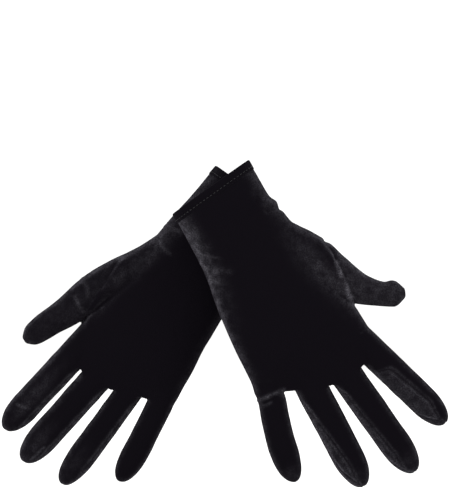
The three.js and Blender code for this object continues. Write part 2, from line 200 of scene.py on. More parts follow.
@dataclass(frozen=True)
class Finger:
    """A finger of the glove, drawn straight in the flat frame; all sizes in millimetres."""

    zone: Zone
    root: tuple[float, float]
    tip: tuple[float, float]
    width: float
    bend: float
    cap: float
    droop: float
    rolls: tuple[float, float] = (12.0, 20.0)
    bow: float = 0.0
    hook: float = 0.0
    strip_width: float = 7.0

    START = -24.0
    DEPTH = 0.82
    CUT_BEFORE_BEND = 15.0
    TIP_EXTRA = 1.2
    CAP_POWER = 2.3  # how full the cap is, where 2 is an ellipse
    CAP_END = 0.98  # the share of a quarter turn at which the tip is closed
    LEAST_WIDTH = 0.004

    @property
    def length(self) -> float:
        """Root to tip."""
        return math.dist(self.root, self.tip)

    @property
    def direction(self) -> np.ndarray:
        """Unit direction from root to tip."""
        return (np.array(self.tip) - np.array(self.root)) / self.length

    @property
    def cut(self) -> float:
        """Distance from the root where the finger's own panels take over from the hand's."""
        return self.bend - self.CUT_BEFORE_BEND

    def local(self, xy: np.ndarray) -> tuple[np.ndarray, np.ndarray]:
        """Coordinates of points along the finger and across it, towards the thumb."""
        away = xy - np.array(self.root)
        dx, dy = self.direction
        return away @ np.array([dx, dy]), away @ np.array([-dy, dx])

    def rings(self) -> np.ndarray:
        """The finger's tube: sections whose width shrinks over the cap nearly as an ellipse does.

        Returns:
            Rings of points. Their spacing closes up towards the tip as the sine of an even angle does,
            and their middles bow aside by a parabola and hook aside by the cube of the share walked.
        """
        straight = np.linspace(self.START, self.length - self.cap, 24)[:-1]
        cap = self.cap + self.TIP_EXTRA
        turn = np.linspace(0.0, self.CAP_END * math.pi / 2, 16)
        along = np.concatenate([straight, self.length - self.cap + cap * np.sin(turn)])
        part = np.clip((along - (self.length - self.cap)) / cap, 0.0, 1.0)
        width = self.width * np.sqrt(np.maximum(1.0 - part**self.CAP_POWER, self.LEAST_WIDTH))
        share = np.clip(along / self.length, 0.0, 1.1)
        aside = self.bow * 4.0 * share * (1.0 - share) + self.hook * share**3
        beside = np.array([-self.direction[1], self.direction[0]])
        centre = np.array(self.root) + along[:, None] * self.direction + aside[:, None] * beside
        heading = np.repeat(self.direction[None], len(along), axis=0)
        return tube_rings(centre, heading, width, width * self.DEPTH)


@dataclass(frozen=True)
class Thumb:
    """The thumb of the glove: a bent tube, and the seam that sets it into the hand."""

    spine: tuple[tuple[float, float], ...]
    widths: tuple[float, ...]
    tip: tuple[float, float]
    seam: tuple[tuple[float, float], ...]
    web: tuple[float, float]
    spread: float
    bend: int

    DEPTH = 0.86
    MOUND = 24.0
    BEFORE_SEAM = 18.0
    PAST_WEB = 70.0
    PAST_TIP = 4.0
    TIP_SHARE = 0.35

    @property
    def end(self) -> float:
        """The x past which nothing belongs to the thumb."""
        return self.tip[0] + self.PAST_TIP

    def holds(self, points: np.ndarray) -> np.ndarray:
        """Which points lie on the thumb: outside its seam and short of its end."""
        return (points[:, 1] > self.seam_height(points[:, 0])) & (points[:, 0] < self.end)

    def rings(self) -> np.ndarray:
        """The thumb's tube: sections square to a smooth line through its spine, rounded at the tip."""
        spine = np.array([*self.spine, self.tip])
        widths = np.array([*self.widths, self.widths[-1] * self.TIP_SHARE])
        rows = spline_rows(np.column_stack([spine, widths]), 60)
        centre, width = rows[:, :2], rows[:, 2]
        step = np.gradient(centre, axis=0)
        heading = step / np.linalg.norm(step, axis=1, keepdims=True)
        return tube_rings(centre, heading, width, np.minimum(width * self.DEPTH, self.MOUND))

    def seam_height(self, x: np.ndarray) -> np.ndarray:
        """The y of the thumb's seam over x: it drops steeply from outside, then runs to the web."""
        first = self.seam[0]
        before = (first[0] - self.BEFORE_SEAM / 3, first[1] + self.BEFORE_SEAM)
        end = (self.web[0] + self.PAST_WEB, self.web[1] + self.PAST_WEB * self.spread)
        line = np.array([before, *self.seam, self.web, end])
        return np.interp(x, line[:, 0], line[:, 1])


@dataclass(frozen=True)
class Fold:
    """A crease or ridge in the cloth, along a line in the flat frame."""

    line: tuple[tuple[float, float], ...]
    height: float
    width: float
    face: Face = Face.BACK
    # painted light along the fold: a highlight above zero, painted shade below
    painted_light: float = 0.0

    def share(self, points: np.ndarray, normals: np.ndarray, spread: float = 1.0) -> np.ndarray:
        """How much of the fold each point has.

        Args:
            points: Flat-frame places.
            normals: The surface's directions there.
            spread: How much wider than the fold itself to reach.

        Returns:
            A Gaussian of the distance to the line, faded out on the other face.
        """
        distance = distance_to_line(points[:, :2], np.array(self.line)) / (self.width * spread)
        if self.face is Face.BOTH:
            return np.exp(-(distance**2))
        return np.exp(-(distance**2)) * smoothstep(-0.15, 0.35, normals[:, 2] * self.face.value)


@dataclass(frozen=True)
class SheenPatch:
    """A patch of painted sheen, greying the velvet's colour: an oval in the flat frame."""

    centre: tuple[float, float]
    radii: tuple[float, float]
    strength: float
    turn: float = 0.0

    def share(self, points: np.ndarray) -> np.ndarray:
        """The strength times a Gaussian of the distance in radii, along axes turned by some degrees."""
        angle = math.radians(self.turn)
        axes = np.array([[math.cos(angle), -math.sin(angle)], [math.sin(angle), math.cos(angle)]])
        away = (points[:, :2] - np.array(self.centre)) @ axes / np.array(self.radii)
        return self.strength * np.exp(-(away**2).sum(axis=1))


@dataclass(frozen=True)
class GloveShape:
    """Everything that gives one glove its worn shape."""

    side: Side
    knuckles: float
    blend_to: float
    hand: tuple[tuple[tuple[tuple[float, float], ...], float], ...]
    fingers: tuple[Finger, ...]
    thumb: Thumb
    folds: tuple[Fold, ...]
    sheen_patches: tuple[SheenPatch, ...]
    # Painted sheen on the sides: rows of x, outer and inner strength; then outer and inner for each
    # finger.
    edges: tuple[tuple[float, float, float], ...]
    finger_edges: tuple[tuple[float, float], ...]
    # painted sheen on the whole thumb, and painted sheen added on the side strips
    thumb_painted_sheen: float
    strip_painted_sheen: float
    seed: int

    BEFORE_CUFF = 6.0
    SWING = 0.5
    SWING_EASE = 12.0
    LEAN_EASE = 14.0
    LEAN_START = 4.0

    @property
    def turn(self) -> float:
        """1 for the right hand and -1 for its mirror image."""
        return 1.0 if self.side is Side.RIGHT else -1.0

    def hand_rings(self) -> np.ndarray:
        """The hand's tube: rounded sections between the two outlines, from the cuff to the webs."""
        rows = []
        for line, depth in self.hand:
            points = np.array(line)
            share = np.linspace(0, len(points) - 1, 5)
            spread = [np.interp(share, np.arange(len(points)), points[:, i]) for i in range(2)]
            rows.append(np.concatenate([*spread, [depth]]))
        rows = np.array(rows)
        before = rows[0].copy()
        before[:5] -= self.BEFORE_CUFF
        rows = spline_rows(np.array([before, *rows]), 90)
        across, up = section_circle()
        u = (1.0 + across) / 2.0
        places = np.arange(5) / 4.0
        x = np.array([np.interp(u, places, row[:5]) for row in rows])
        y = np.array([np.interp(u, places, row[5:10]) for row in rows])
        return np.stack([x, y, up[None] * rows[:, 10:]], axis=2)

    def cuff_section(self, x: float, growth: float, count: int) -> np.ndarray:
        """The hand's section near the cuff, grown outwards.

        Args:
            x: Distance from the cuff's edge.
            growth: Distance outside the hand's own surface.
            count: Number of points round the section.

        Returns:
            Points round the section. Its half width and depth are those of the hand plus the growth.
        """
        (line, depth), (next_line, next_depth) = self.hand[:2]
        share = x / next_line[0][0]
        low, high = (line[i][1] + (next_line[i][1] - line[i][1]) * share for i in (0, -1))
        half = (high - low) / 2.0 + growth
        thick = depth + (next_depth - depth) * share + growth
        across, up = section_circle(count)
        return np.column_stack([np.full(count, x), (low + high) / 2.0 + half * across, thick * up])

    def drape(self, points: np.ndarray) -> np.ndarray:
        """Leans the flat glove towards the palm.

        The thumb swings back with the eased distance outside its web line, and the fingers lean with the
        eased distance past the knuckles times the tangent of each finger's droop, mixed between fingers.

        Args:
            points: Flat-frame places.

        Returns:
            The places after the lean.
        """
        x, y = points[:, 0], points[:, 1]
        web = self.thumb.web
        edge = web[1] - 3.0 + np.maximum(0.0, x - web[0]) * self.thumb.spread
        swing = self.SWING * eased(y - edge, self.SWING_EASE)
        order = sorted(self.fingers, key=lambda finger: finger.root[1])
        slopes = [math.tan(math.radians(finger.droop)) for finger in order]
        slope = np.interp(np.minimum(y, edge), [finger.root[1] for finger in order], slopes)
        lean = eased(x - self.knuckles - self.LEAN_START, self.LEAN_EASE) * slope
        on_thumb = (y > edge + 2.0) & (x < self.thumb.end)
        moved = points.copy()
        moved[:, 2] -= swing + np.where(on_thumb, 0.0, lean)
        return moved


def eased(distance: np.ndarray, ease: float) -> np.ndarray:
    """Zero before 0, then the square of the distance over the distance plus the ease."""
    ahead = np.maximum(distance, 0.0)
    return ahead * ahead / (ahead + ease)


def section_circle(count: int = SECTION_POINTS) -> tuple[np.ndarray, np.ndarray]:
    """Points of a unit superellipse: signed powers of the cosine and sine of even angles."""
    angle = np.linspace(0.0, 2.0 * math.pi, count, endpoint=False)
    power = 2.0 / SQUARENESS
    return signed_power(np.cos(angle), power), signed_power(np.sin(angle), power)


def tube_rings(centre: np.ndarray, heading: np.ndarray, width: np.ndarray,
               depth: np.ndarray) -> np.ndarray:
    """Sections of a tube in the flat frame, each square to its heading.

    Args:
        centre: Middle of each section.
        heading: Unit direction of the tube there.
        width: Full width across.
        depth: Full thickness.

    Returns:
        Rings of points: the centre, plus half the width times the superellipse's across along the
        direction square to the heading, and half the depth times its up along z.
    """
    across, up = section_circle()
    beside = np.column_stack([-heading[:, 1], heading[:, 0]])
    flat = centre[:, None] + (width[:, None, None] / 2) * across[None, :, None] * beside[:, None]
    high = (depth[:, None] / 2) * up[None]
    return np.concatenate([flat, high[..., None]], axis=2)


# ---- Surfaces -----------------------------------------------------------------------------------------


@dataclass
class Surface:
    """A triangle surface: its smooth flat-frame places, what hangs on each point, and what each face is.

    The data of a point are its shaped place, its normal and its painted sheen.
    """

    flat: np.ndarray
    data: np.ndarray
    faces: np.ndarray
    zone: np.ndarray
    panel: np.ndarray

    def centres(self) -> np.ndarray:
        """Middle of each face in the flat frame."""
        return self.flat[self.faces].mean(axis=1)

    def cut(self, level: np.ndarray, where: np.ndarray) -> None:
        """Splits the chosen faces along the line where a level is zero.

        A face whose corners differ in sign is split through two new points on its edges. Each lies at
        the level's zero on its edge, kept a little off the corners so that no sliver is made.

        Args:
            level: The level's value at each point.
            where: Which faces may be split.
        """
        above = level[self.faces] > 0
        count = above.sum(axis=1)
        split = where & (count > 0) & (count < 3)
        if not split.any():
            return
        odd_value = count[split] == 1
        odd = np.argmax(above[split] == odd_value[:, None], axis=1)
        rows = np.arange(len(odd))
        o, p, q = (self.faces[split][rows, (odd + k) % 3] for k in range(3))
        pairs = np.sort(np.concatenate([np.column_stack([o, p]), np.column_stack([o, q])]), axis=1)
        edges, index = np.unique(pairs, axis=0, return_inverse=True)
        a, b = edges.T
        share = np.clip(level[a] / (level[a] - level[b]), 0.1, 0.9)[:, None]
        start = len(self.flat)
        self.flat = np.concatenate([self.flat, self.flat[a] * (1 - share) + self.flat[b] * share])
        self.data = np.concatenate([self.data, self.data[a] * (1 - share) + self.data[b] * share])
        new = start + index.reshape(-1)
        e, f = new[: len(o)], new[len(o):]
        parts = [np.column_stack(t) for t in ((o, e, f), (e, p, q), (e, q, f))]
        self.faces = np.concatenate([self.faces[~split], *parts])
        self.zone = np.concatenate([self.zone[~split], np.tile(self.zone[split], 3)])
        self.panel = np.concatenate([self.panel[~split], np.tile(self.panel[split], 3)])

    def settle(self, smallest: int) -> None:
        """Gives each stray patch of a panel to the panel beside it.

        Faces that share an edge and a panel get one patch number: each takes the lowest number beside it
        until nothing changes.

        Args:
            smallest: A patch of fewer faces than this is a stray one.
        """
        kind = self.zone * len(Panel) + self.panel
        sides = np.sort(self.faces[:, [0, 1, 1, 2, 2, 0]].reshape(-1, 2), axis=1)
        _, edge = np.unique(sides, axis=0, return_inverse=True)
        order = np.argsort(edge.reshape(-1), kind="stable")
        twins = edge.reshape(-1)[order[:-1]] == edge.reshape(-1)[order[1:]]
        a, b = order[:-1][twins] // 3, order[1:][twins] // 3
        same = kind[a] == kind[b]
        patch = np.arange(len(kind))
        while True:
            lower = patch.copy()
            least = np.minimum(patch[a[same]], patch[b[same]])
            np.minimum.at(lower, a[same], least)
            np.minimum.at(lower, b[same], least)
            lower = lower[lower]
            if (lower == patch).all():
                break
            patch = lower
        stray = np.bincount(patch, minlength=len(patch))[patch] < smallest
        for first, second in ((a, b), (b, a)):
            border = stray[first] & ~stray[second]
            taken = np.full(len(kind), -1)
            taken[patch[first[border]]] = kind[second[border]]
            moved = stray & (taken[patch] >= 0)
            self.zone[moved], self.panel[moved] = np.divmod(taken[patch[moved]], len(Panel))


def vertex_normals(points: np.ndarray, faces: np.ndarray) -> np.ndarray:
    """Unit normals at the points: the sum of the cross products of the triangles round each."""
    a, b, c = (points[faces[:, k]] for k in range(3))
    cross = np.cross(b - a, c - a)
    total = np.zeros_like(points)
    for k in range(3):
        for axis in range(3):
            total[:, axis] += np.bincount(faces[:, k], cross[:, axis], len(points))
    return total / np.maximum(np.linalg.norm(total, axis=1, keepdims=True), 1e-9)


def smoothed(points: np.ndarray, faces: np.ndarray, rounds: int) -> np.ndarray:
    """Takes the steps out of a surface.

    Each round moves every point half-way to the mean of its neighbours and then nearly as far back, so
    that small steps go and the size stays.

    Args:
        points: The surface's points.
        faces: Its faces, as rows of point numbers.
        rounds: How many times to do it.

    Returns:
        The moved points.
    """
    sides = faces.shape[1]
    a = np.concatenate([faces[:, k] for k in range(sides)])
    b = np.concatenate([faces[:, (k + 1) % sides] for k in range(sides)])
    degree = np.maximum(np.bincount(a, minlength=len(points)), 1)[:, None]
    for pull in (0.5, -0.47) * rounds:
        total = np.column_stack([np.bincount(a, points[b, axis], len(points)) for axis in range(3)])
        points = points + pull * (total / degree - points)
    return points


def set_normals(mesh: bpy.types.Mesh, normals: np.ndarray) -> None:
    """Gives a walled mesh the normals of the whole skin, so that no line shows where pieces meet.

    Args:
        mesh: A mesh whose first half of points is its outside and whose second half is its inside.
        normals: The normals of the outside points. The inside gets the opposite ones.
    """
    corners = np.empty(len(mesh.loops), np.int32)
    mesh.loops.foreach_get("vertex_index", corners)
    sides = np.empty(len(mesh.polygons), np.int32)
    mesh.polygons.foreach_get("loop_total", sides)
    face_normals = np.empty(len(mesh.polygons) * 3, np.float32)
    mesh.polygons.foreach_get("normal", face_normals)
    face_normals = np.repeat(face_normals.reshape(-1, 3), sides, axis=0)
    inside = corners >= len(normals)
    both = np.concatenate([normals, -normals])[corners]
    owner = np.repeat(np.arange(len(mesh.polygons)), sides)
    count = np.bincount(owner, inside)[owner]
    rim = (count > 0) & (count < sides[owner])
    mesh.normals_split_custom_set(np.where(rim[:, None], face_normals, both).tolist())


def mesh_object(name: str, points: np.ndarray, faces: Iterable[Sequence[int]]) -> bpy.types.Object:
    """Makes a mesh object at the origin.

    Args:
        name: The object's name.
        points: Its points.
        faces: Its faces.

    Returns:
        The object, linked to the scene and shaded smooth.
    """
    mesh = bpy.data.meshes.new(name)
    rows = faces if isinstance(faces, list) else np.asarray(faces).tolist()
    mesh.from_pydata(points.tolist(), [], rows)
    mesh.polygons.foreach_set("use_smooth", np.ones(len(mesh.polygons), bool))
    mesh.update()
    obj = bpy.data.objects.new(name, mesh)
    bpy.context.scene.collection.objects.link(obj)
    return obj


def grid_faces(rows: int, columns: int, closed_rows: bool) -> np.ndarray:
    """Quads of a grid that closes round its columns, and round its rows if asked."""
    last = rows if closed_rows else rows - 1
    i, j = np.meshgrid(np.arange(last), np.arange(columns), indexing="ij")
    i, j = i.ravel(), j.ravel()
    down, right = (i + 1) % rows, (j + 1) % columns
    corners = ((i, j), (i, right), (down, right), (down, j))
    return np.column_stack([row * columns + column for row, column in corners])


def one_skin(tubes: Sequence[np.ndarray]) -> tuple[np.ndarray, np.ndarray]:
    """The common outer skin of closed tubes.

    Args:
        tubes: Rings of points, each tube closed by flat ends.

    Returns:
        Points and quads of the skin round all of them, drawn afresh in even cells.
    """
    points, faces, start = [], [], 0
    for rings in tubes:
        count, columns = rings.shape[:2]
        points.append(rings.reshape(-1, 3))
        faces += (grid_faces(count, columns, False) + start).tolist()
        faces.append((np.arange(columns)[::-1] + start).tolist())
        faces.append((np.arange(columns) + start + (count - 1) * columns).tolist())
        start += count * columns
    block = mesh_object("skin_block", np.concatenate(points), faces)
    remesh = block.modifiers.new("even_cells", "REMESH")
    remesh.mode = "VOXEL"
    remesh.voxel_size = CELL
    shown = block.evaluated_get(bpy.context.evaluated_depsgraph_get())
    mesh = shown.to_mesh()
    places = np.empty(len(mesh.vertices) * 3, np.float32)
    mesh.vertices.foreach_get("co", places)
    corners = np.empty(len(mesh.loops), np.int32)
    mesh.loops.foreach_get("vertex_index", corners)
    shown.to_mesh_clear()
    bpy.data.objects.remove(block)
    return places.reshape(-1, 3).astype(float), corners.reshape(-1, 4)


# ---- Finishes -----------------------------------------------------------------------------------------


def linear(colour: str) -> tuple[float, float, float, float]:
    """An sRGB hex colour as linear light, with full alpha."""
    values = [int(colour[i : i + 2], 16) / 255.0 for i in (1, 3, 5)]
    light = [v / 12.92 if v <= 0.04045 else ((v + 0.055) / 1.055) ** 2.4 for v in values]
    return (*light, 1.0)


def add_node(tree: bpy.types.NodeTree, kind: str, settings: dict | None = None,
             **inputs: object) -> bpy.types.Node:
    """Adds a shader node.

    Args:
        tree: The material's node tree.
        kind: The node's type.
        settings: Properties to set on the node.
        inputs: Socket values, or output sockets to link, under the socket's name with _ for a space, or
            under _ and the socket's number.

    Returns:
        The node.
    """
    node = tree.nodes.new(kind)
    for name, value in (settings or {}).items():
        setattr(node, name, value)
    for name, value in inputs.items():
        key = int(name[1:]) if name[1:].isdigit() else name.replace("_", " ")
        socket = node.inputs[key]
        if isinstance(value, bpy.types.NodeSocket):
            tree.links.new(value, socket)
        else:
            socket.default_value = value
    return node


def blank_material(name: str) -> tuple[bpy.types.Material, bpy.types.NodeTree, bpy.types.NodeSocket]:
    """A new material, its emptied node tree, and the object's own coordinates in it."""
    material = bpy.data.materials.new(name)
    material.use_nodes = True
    tree = material.node_tree
    tree.nodes.clear()
    return material, tree, add_node(tree, "ShaderNodeTexCoord").outputs["Object"]


@dataclass(frozen=True)
class Velvet:
    """Stretch velvet: a short, dense pile on a knit. Face on it swallows light; its edges glow.

    Its sheen is painted into the base colour: a grey in fine grain, mixed in by the painted sheen
    attribute and where the surface faces away from the camera.
    """

    name: str
    depth_colour: str = "#0d0b0f"
    # the grey that stands in for sheen, painted into the base colour
    sheen_colour: str = "#76747c"
    # how strongly the painted sheen attribute greys the colour
    sheen_gain: float = 0.18
    # painted rim sheen: grey where the surface faces away from the camera
    turned: float = 0.045
    sheen: float = 0.01

    TUFT_MM = 0.75  # the pile's tufts are finer, and are drawn this coarse so that they show
    PATCH_MM = 5.0
    ROUGHNESS = 0.95
    SHEEN_TINT = "#cfc8d8"

    def material(self) -> bpy.types.Material:
        """Builds the material.

        Returns:
            Near-black pile with painted sheen: grey grain where the painted sheen attribute is high and
            where the surface faces away from the camera.
        """
        material, tree, place = blank_material(self.name)
        tuft = self.noise(tree, place, self.TUFT_MM, 2.0, 0.36, 0.68)
        patch = self.noise(tree, place, self.PATCH_MM, 3.0, 0.34, 0.66)
        # The painted sheen attribute, worked out point by point on the cloth.
        painted_sheen = add_node(tree, "ShaderNodeAttribute", {"attribute_name": "painted_sheen"}).outputs["Fac"]
        facing = add_node(tree, "ShaderNodeLayerWeight", None, Blend=0.5).outputs["Facing"]
        # Painted rim sheen: the colour greys as the surface turns away from the camera.
        turned = add_node(tree, "ShaderNodeMapRange", None, Value=facing, From_Min=0.1, From_Max=0.7,
                          To_Max=self.turned).outputs[0]
        # The share of painted sheen: the attribute times its gain, plus the rim sheen, broken by grain
        # and mottle.
        painted_sheen_share = self.combine(tree, "MULTIPLY_ADD", painted_sheen, self.sheen_gain, turned)
        grain = self.combine(tree, "MULTIPLY_ADD", tuft, 1.25, 0.25)
        mottle = self.combine(tree, "MULTIPLY_ADD", patch, 0.9, 0.45)
        share = self.combine(tree, "MULTIPLY", self.combine(tree, "MULTIPLY", painted_sheen_share, grain), mottle)
        colour = add_node(tree, "ShaderNodeMix", {"data_type": "RGBA"}, _0=share,
                          _6=linear(self.depth_colour), _7=linear(self.sheen_colour))
        bump = add_node(tree, "ShaderNodeBump", None, Strength=0.3, Distance=0.2 * MM, Height=tuft)
        finish = add_node(tree, "ShaderNodeBsdfPrincipled", None, Base_Color=colour.outputs[2],
                          Roughness=self.ROUGHNESS, Normal=bump.outputs[0], Specular_IOR_Level=0.0,
                          Sheen_Weight=self.sheen, Sheen_Roughness=0.4,
                          Sheen_Tint=linear(self.SHEEN_TINT))
        add_node(tree, "ShaderNodeOutputMaterial", None, Surface=finish.outputs[0])
        return material

    def noise(self, tree: bpy.types.NodeTree, place: bpy.types.NodeSocket, size: float, detail: float,
              low: float, high: float) -> bpy.types.NodeSocket:
        """A noise of a size in millimetres, stretched so that low gives 0 and high gives 1."""
        made = add_node(tree, "ShaderNodeTexNoise", None, Vector=place, Scale=1.0 / (size * MM),
                        Detail=detail)
        return add_node(tree, "ShaderNodeMapRange", None, Value=made.outputs["Fac"], From_Min=low,
                        From_Max=high).outputs[0]

    def combine(self, tree: bpy.types.NodeTree, operation: str, *values: object) -> bpy.types.NodeSocket:
        """Joins numbers or sockets by one operation."""
        inputs = {f"_{k}": value for k, value in enumerate(values)}
        return add_node(tree, "ShaderNodeMath", {"operation": operation}, **inputs).outputs[0]


@dataclass(frozen=True)
class Yarn:
    """Plain matte yarn or knit: the stitches, and the bare knit on the inside of the cloth."""

    name: str
    colour: str
    dark: str
    yarn_mm: float

    def material(self) -> bpy.types.Material:
        """Builds the material: two close shades of a matte yarn, mixed by a fine wave."""
        material, tree, place = blank_material(self.name)
        wave = add_node(tree, "ShaderNodeTexWave", {"bands_direction": "DIAGONAL"}, Vector=place,
                        Scale=0.3 / (self.yarn_mm * MM), Distortion=1.5)
        colour = add_node(tree, "ShaderNodeMix", {"data_type": "RGBA"}, _0=wave.outputs["Fac"],
                          _6=linear(self.dark), _7=linear(self.colour))
        bump = add_node(tree, "ShaderNodeBump", None, Strength=0.5, Distance=0.15 * MM,
                        Height=wave.outputs["Fac"])
        finish = add_node(tree, "ShaderNodeBsdfPrincipled", None, Base_Color=colour.outputs[2],
                          Roughness=0.8, Normal=bump.outputs[0], Specular_IOR_Level=0.25,
                          Sheen_Weight=0.05)
        add_node(tree, "ShaderNodeOutputMaterial", None, Surface=finish.outputs[0])
        return material


@dataclass(frozen=True)
class Wardrobe:
    """The materials of the pair."""

    velvet: bpy.types.Material
    strip: bpy.types.Material
    hem: bpy.types.Material
    thread: bpy.types.Material
    knit: bpy.types.Material


def make_wardrobe() -> Wardrobe:
    """Builds each finish once."""
    return Wardrobe(
        velvet=Velvet("black_stretch_velvet").material(),
        # The side strips, cut across the pile, get a little more painted sheen; the hem gets less
        # painted rim sheen.
        strip=Velvet("black_velvet_cut_across", sheen_gain=0.19, turned=0.045).material(),
        hem=Velvet("black_velvet_hem", turned=0.03).material(),
        thread=Yarn("black_polyester_thread", "#18171b", "#0e0d10", 0.4).material(),
        knit=Yarn("charcoal_knit_backing", "#1c1b1f", "#121114", 1.0).material(),
    )


# ---- One glove ----------------------------------------------------------------------------------------


@dataclass
class Glove:
    """Builds the pieces of one glove, and hangs its webs and hem on the frame's bodies."""

    shape: GloveShape
    wardrobe: Wardrobe
    cloth: float = 1.0
    skin_start: float = 4.5
    web_width: float = 7.0
    strip_taper: float = 14.0
    strip_end: float = 3.0
    strip_start: float = -16.0
    seam_depth: float = 0.4
    seam_width: float = 0.8
    finger_zone: float = 11.0
    thumb_zone: float = 9.0
    smallest_panel: int = 160
    stitch_at: float = 5.0

    MOUNT_INSET = 1.0  # from the cuff's outside to the mount in the middle of its edge
    ROLL_SETS_IN = (-2.0, 8.0)
    WIDTH_SETS_IN = (-4.0, 6.0)
    PAST_ROOT = -4.0
    NO_STRIP = 10.0  # the level where there is no strip
    STRIP_REACH = 9.0  # the level up to which a strip's seams count
    SWELLS = ((0.28, 15.0), (0.12, 6.0))  # heights of the cloth's unevenness, and their cells
    WANDER = (1.2, 9.0)  # how far folds stray from their lines, and in what cells
    UNEVEN = (0.4, 5.0)  # how much a fold's height varies, and in what cells
    SEAM_HIGHLIGHT = (0.3, 1.1, 0.65)  # painted highlight beside a seam: strength, distance and width
    FINGER_SHEEN = (-6.0, 10.0)  # where a finger's own painted sheen sets in
    EDGE_SHADE = 0.45  # the share of the painted sheen taken off as painted shade where the cloth turns right away
    CREASES = ((-4.0, -0.1), (-1.0, -0.14), (2.5, -0.1))  # offsets from a finger's bend, and heights
    CREASE_REACH = 0.36
    CREASE_WIDTH = 0.9

    def __post_init__(self) -> None:
        """Reads the glove's place from the mount on its cuff."""
        side = self.shape.side.value
        mounts = {mount["name"]: mount for mount in frame["record"]["mounts"]}
        mount = mounts[f"{side}_cuff_edge"]
        reach = (self.shape.hand[0][1] - self.MOUNT_INSET) * self.shape.turn
        self.down = -np.array(mount["axis"])
        self.back = np.array([0.0, -1.0, 0.0])
        self.to_thumb = np.cross(self.back, self.down) * self.shape.turn
        self.cuff = np.array(mount["pos_m"]) / MM - reach * self.back
        placed = (joint for joint in frame["joints"] if "pos_m" in joint)
        self.joints = {joint["name"]: np.array(joint["pos_m"]) for joint in placed}

    # -- places

    def placed(self, points: np.ndarray) -> np.ndarray:
        """Flat-frame places, draped and carried into the frame, in metres."""
        draped = self.shape.drape(points)
        return MM * (self.cuff + draped @ np.stack([self.down, self.to_thumb, self.back]))

    def body(self, part: str) -> str:
        """The frame's body of a part of this glove."""
        return f"{self.shape.side.value}_{part}"

    def joint(self, part: str) -> Vector:
        """Where a part of this glove bends."""
        return Vector(self.joints[f"{self.shape.side.value}_{part}_bend"])

    # -- skin

    def nearest_finger(self, points: np.ndarray) -> np.ndarray:
        """The number of the finger whose line is nearest to each point, in finger widths."""
        fingers = self.shape.fingers
        gaps = [np.abs(finger.local(points[:, :2])[1]) / finger.width for finger in fingers]
        return np.argmin(gaps, axis=0)

    def strip_levels(self, points: np.ndarray) -> tuple[np.ndarray, np.ndarray, np.ndarray]:
        """How points lie to the seams of the finger nearest to them.

        The finger's seams are rolled round it: rolled height is across times the sine of the roll plus
        up times its cosine, and rolled across likewise. The roll sets in past the root and grows evenly
        to the tip. The strip changes there from the web's width to the finger's, and narrows at the tip.

        Args:
            points: Flat-frame places.

        Returns:
            Distance along the finger; the rolled height; and how far outside the side strip.
        """
        along, height, outside = (np.empty(len(points)) for _ in range(3))
        owner = self.nearest_finger(points)
        for number, finger in enumerate(self.shape.fingers):
            mine = owner == number
            f, c = finger.local(points[mine, :2])
            first, last = finger.rolls
            turn = first + (last - first) * np.clip(f / finger.length, 0.0, 1.0)
            roll = np.radians(turn) * smoothstep(*self.ROLL_SETS_IN, f)
            rolled = c * np.sin(roll) + points[mine, 2] * np.cos(roll)
            toward = c * np.cos(roll) - points[mine, 2] * np.sin(roll)
            narrow = np.clip((finger.length - self.strip_end - f) / self.strip_taper, 0.05, 1.0)
            wider = finger.strip_width - self.web_width
            width = self.web_width + wider * smoothstep(*self.WIDTH_SETS_IN, f)
            inner = f > self.strip_start
            if finger.zone is Zone.INDEX:
                inner &= toward < 0
            if finger.zone is Zone.LITTLE:
                inner &= toward > 0
            along[mine], height[mine] = f, rolled
            outside[mine] = np.where(inner, np.abs(rolled) - narrow * width / 2.0, self.NO_STRIP)
        return along, height, outside

    def dressed(self, flat: np.ndarray, faces: np.ndarray) -> np.ndarray:
        """Puts the folds, the sewn seams and the unevenness of the cloth into the skin.

        Args:
            flat: The smooth skin's points.
            faces: Its triangles.

        Returns:
            Rows of seven numbers: the points moved along their normals, the new normals, and the painted
            sheen there, with the painted light of the folds and seams.
        """
        normals = vertex_normals(flat, faces)
        seed = self.shape.seed
        lift = np.zeros(len(flat))
        for k, (height, cell) in enumerate(self.SWELLS):
            lift += height * lattice_noise(flat, cell, seed + k)
        wander = self.WANDER[0] * lattice_noise(flat, self.WANDER[1], seed + 2)
        moved = flat + np.column_stack([wander, wander, np.zeros(len(flat))])
        uneven = 0.8 + self.UNEVEN[0] * lattice_noise(flat, self.UNEVEN[1], seed + 3)
        painted_light = np.zeros(len(flat))
        for fold in self.all_folds():
            lift += fold.height * fold.share(moved, normals) * uneven
            # Painted highlights along the folds, and painted shade where the value is below zero.
            if fold.painted_light:
                painted_light += fold.painted_light * fold.share(moved, normals, 1.1) * uneven
        sewn = self.distance_to_seam(flat)
        lift -= self.seam_depth * np.exp(-((sewn / self.seam_width) ** 2))
        # A painted highlight runs along each side of every seam.
        strength, distance, width = self.SEAM_HIGHLIGHT
        painted_light += strength * np.exp(-(((sewn - distance) / width) ** 2))
        shaped = flat + normals * lift[:, None]
        new_normals = vertex_normals(shaped, faces)
        painted_sheen = self.painted_sheen(flat, new_normals) + painted_light
        return np.column_stack([shaped, new_normals, painted_sheen])

    def distance_to_seam(self, flat: np.ndarray) -> np.ndarray:
        """Distance from points to the nearest seam: the sides of the hand, or the edges of a strip."""
        _, height, outside = self.strip_levels(flat)
        return np.where(outside < self.STRIP_REACH, np.abs(outside), np.abs(height))

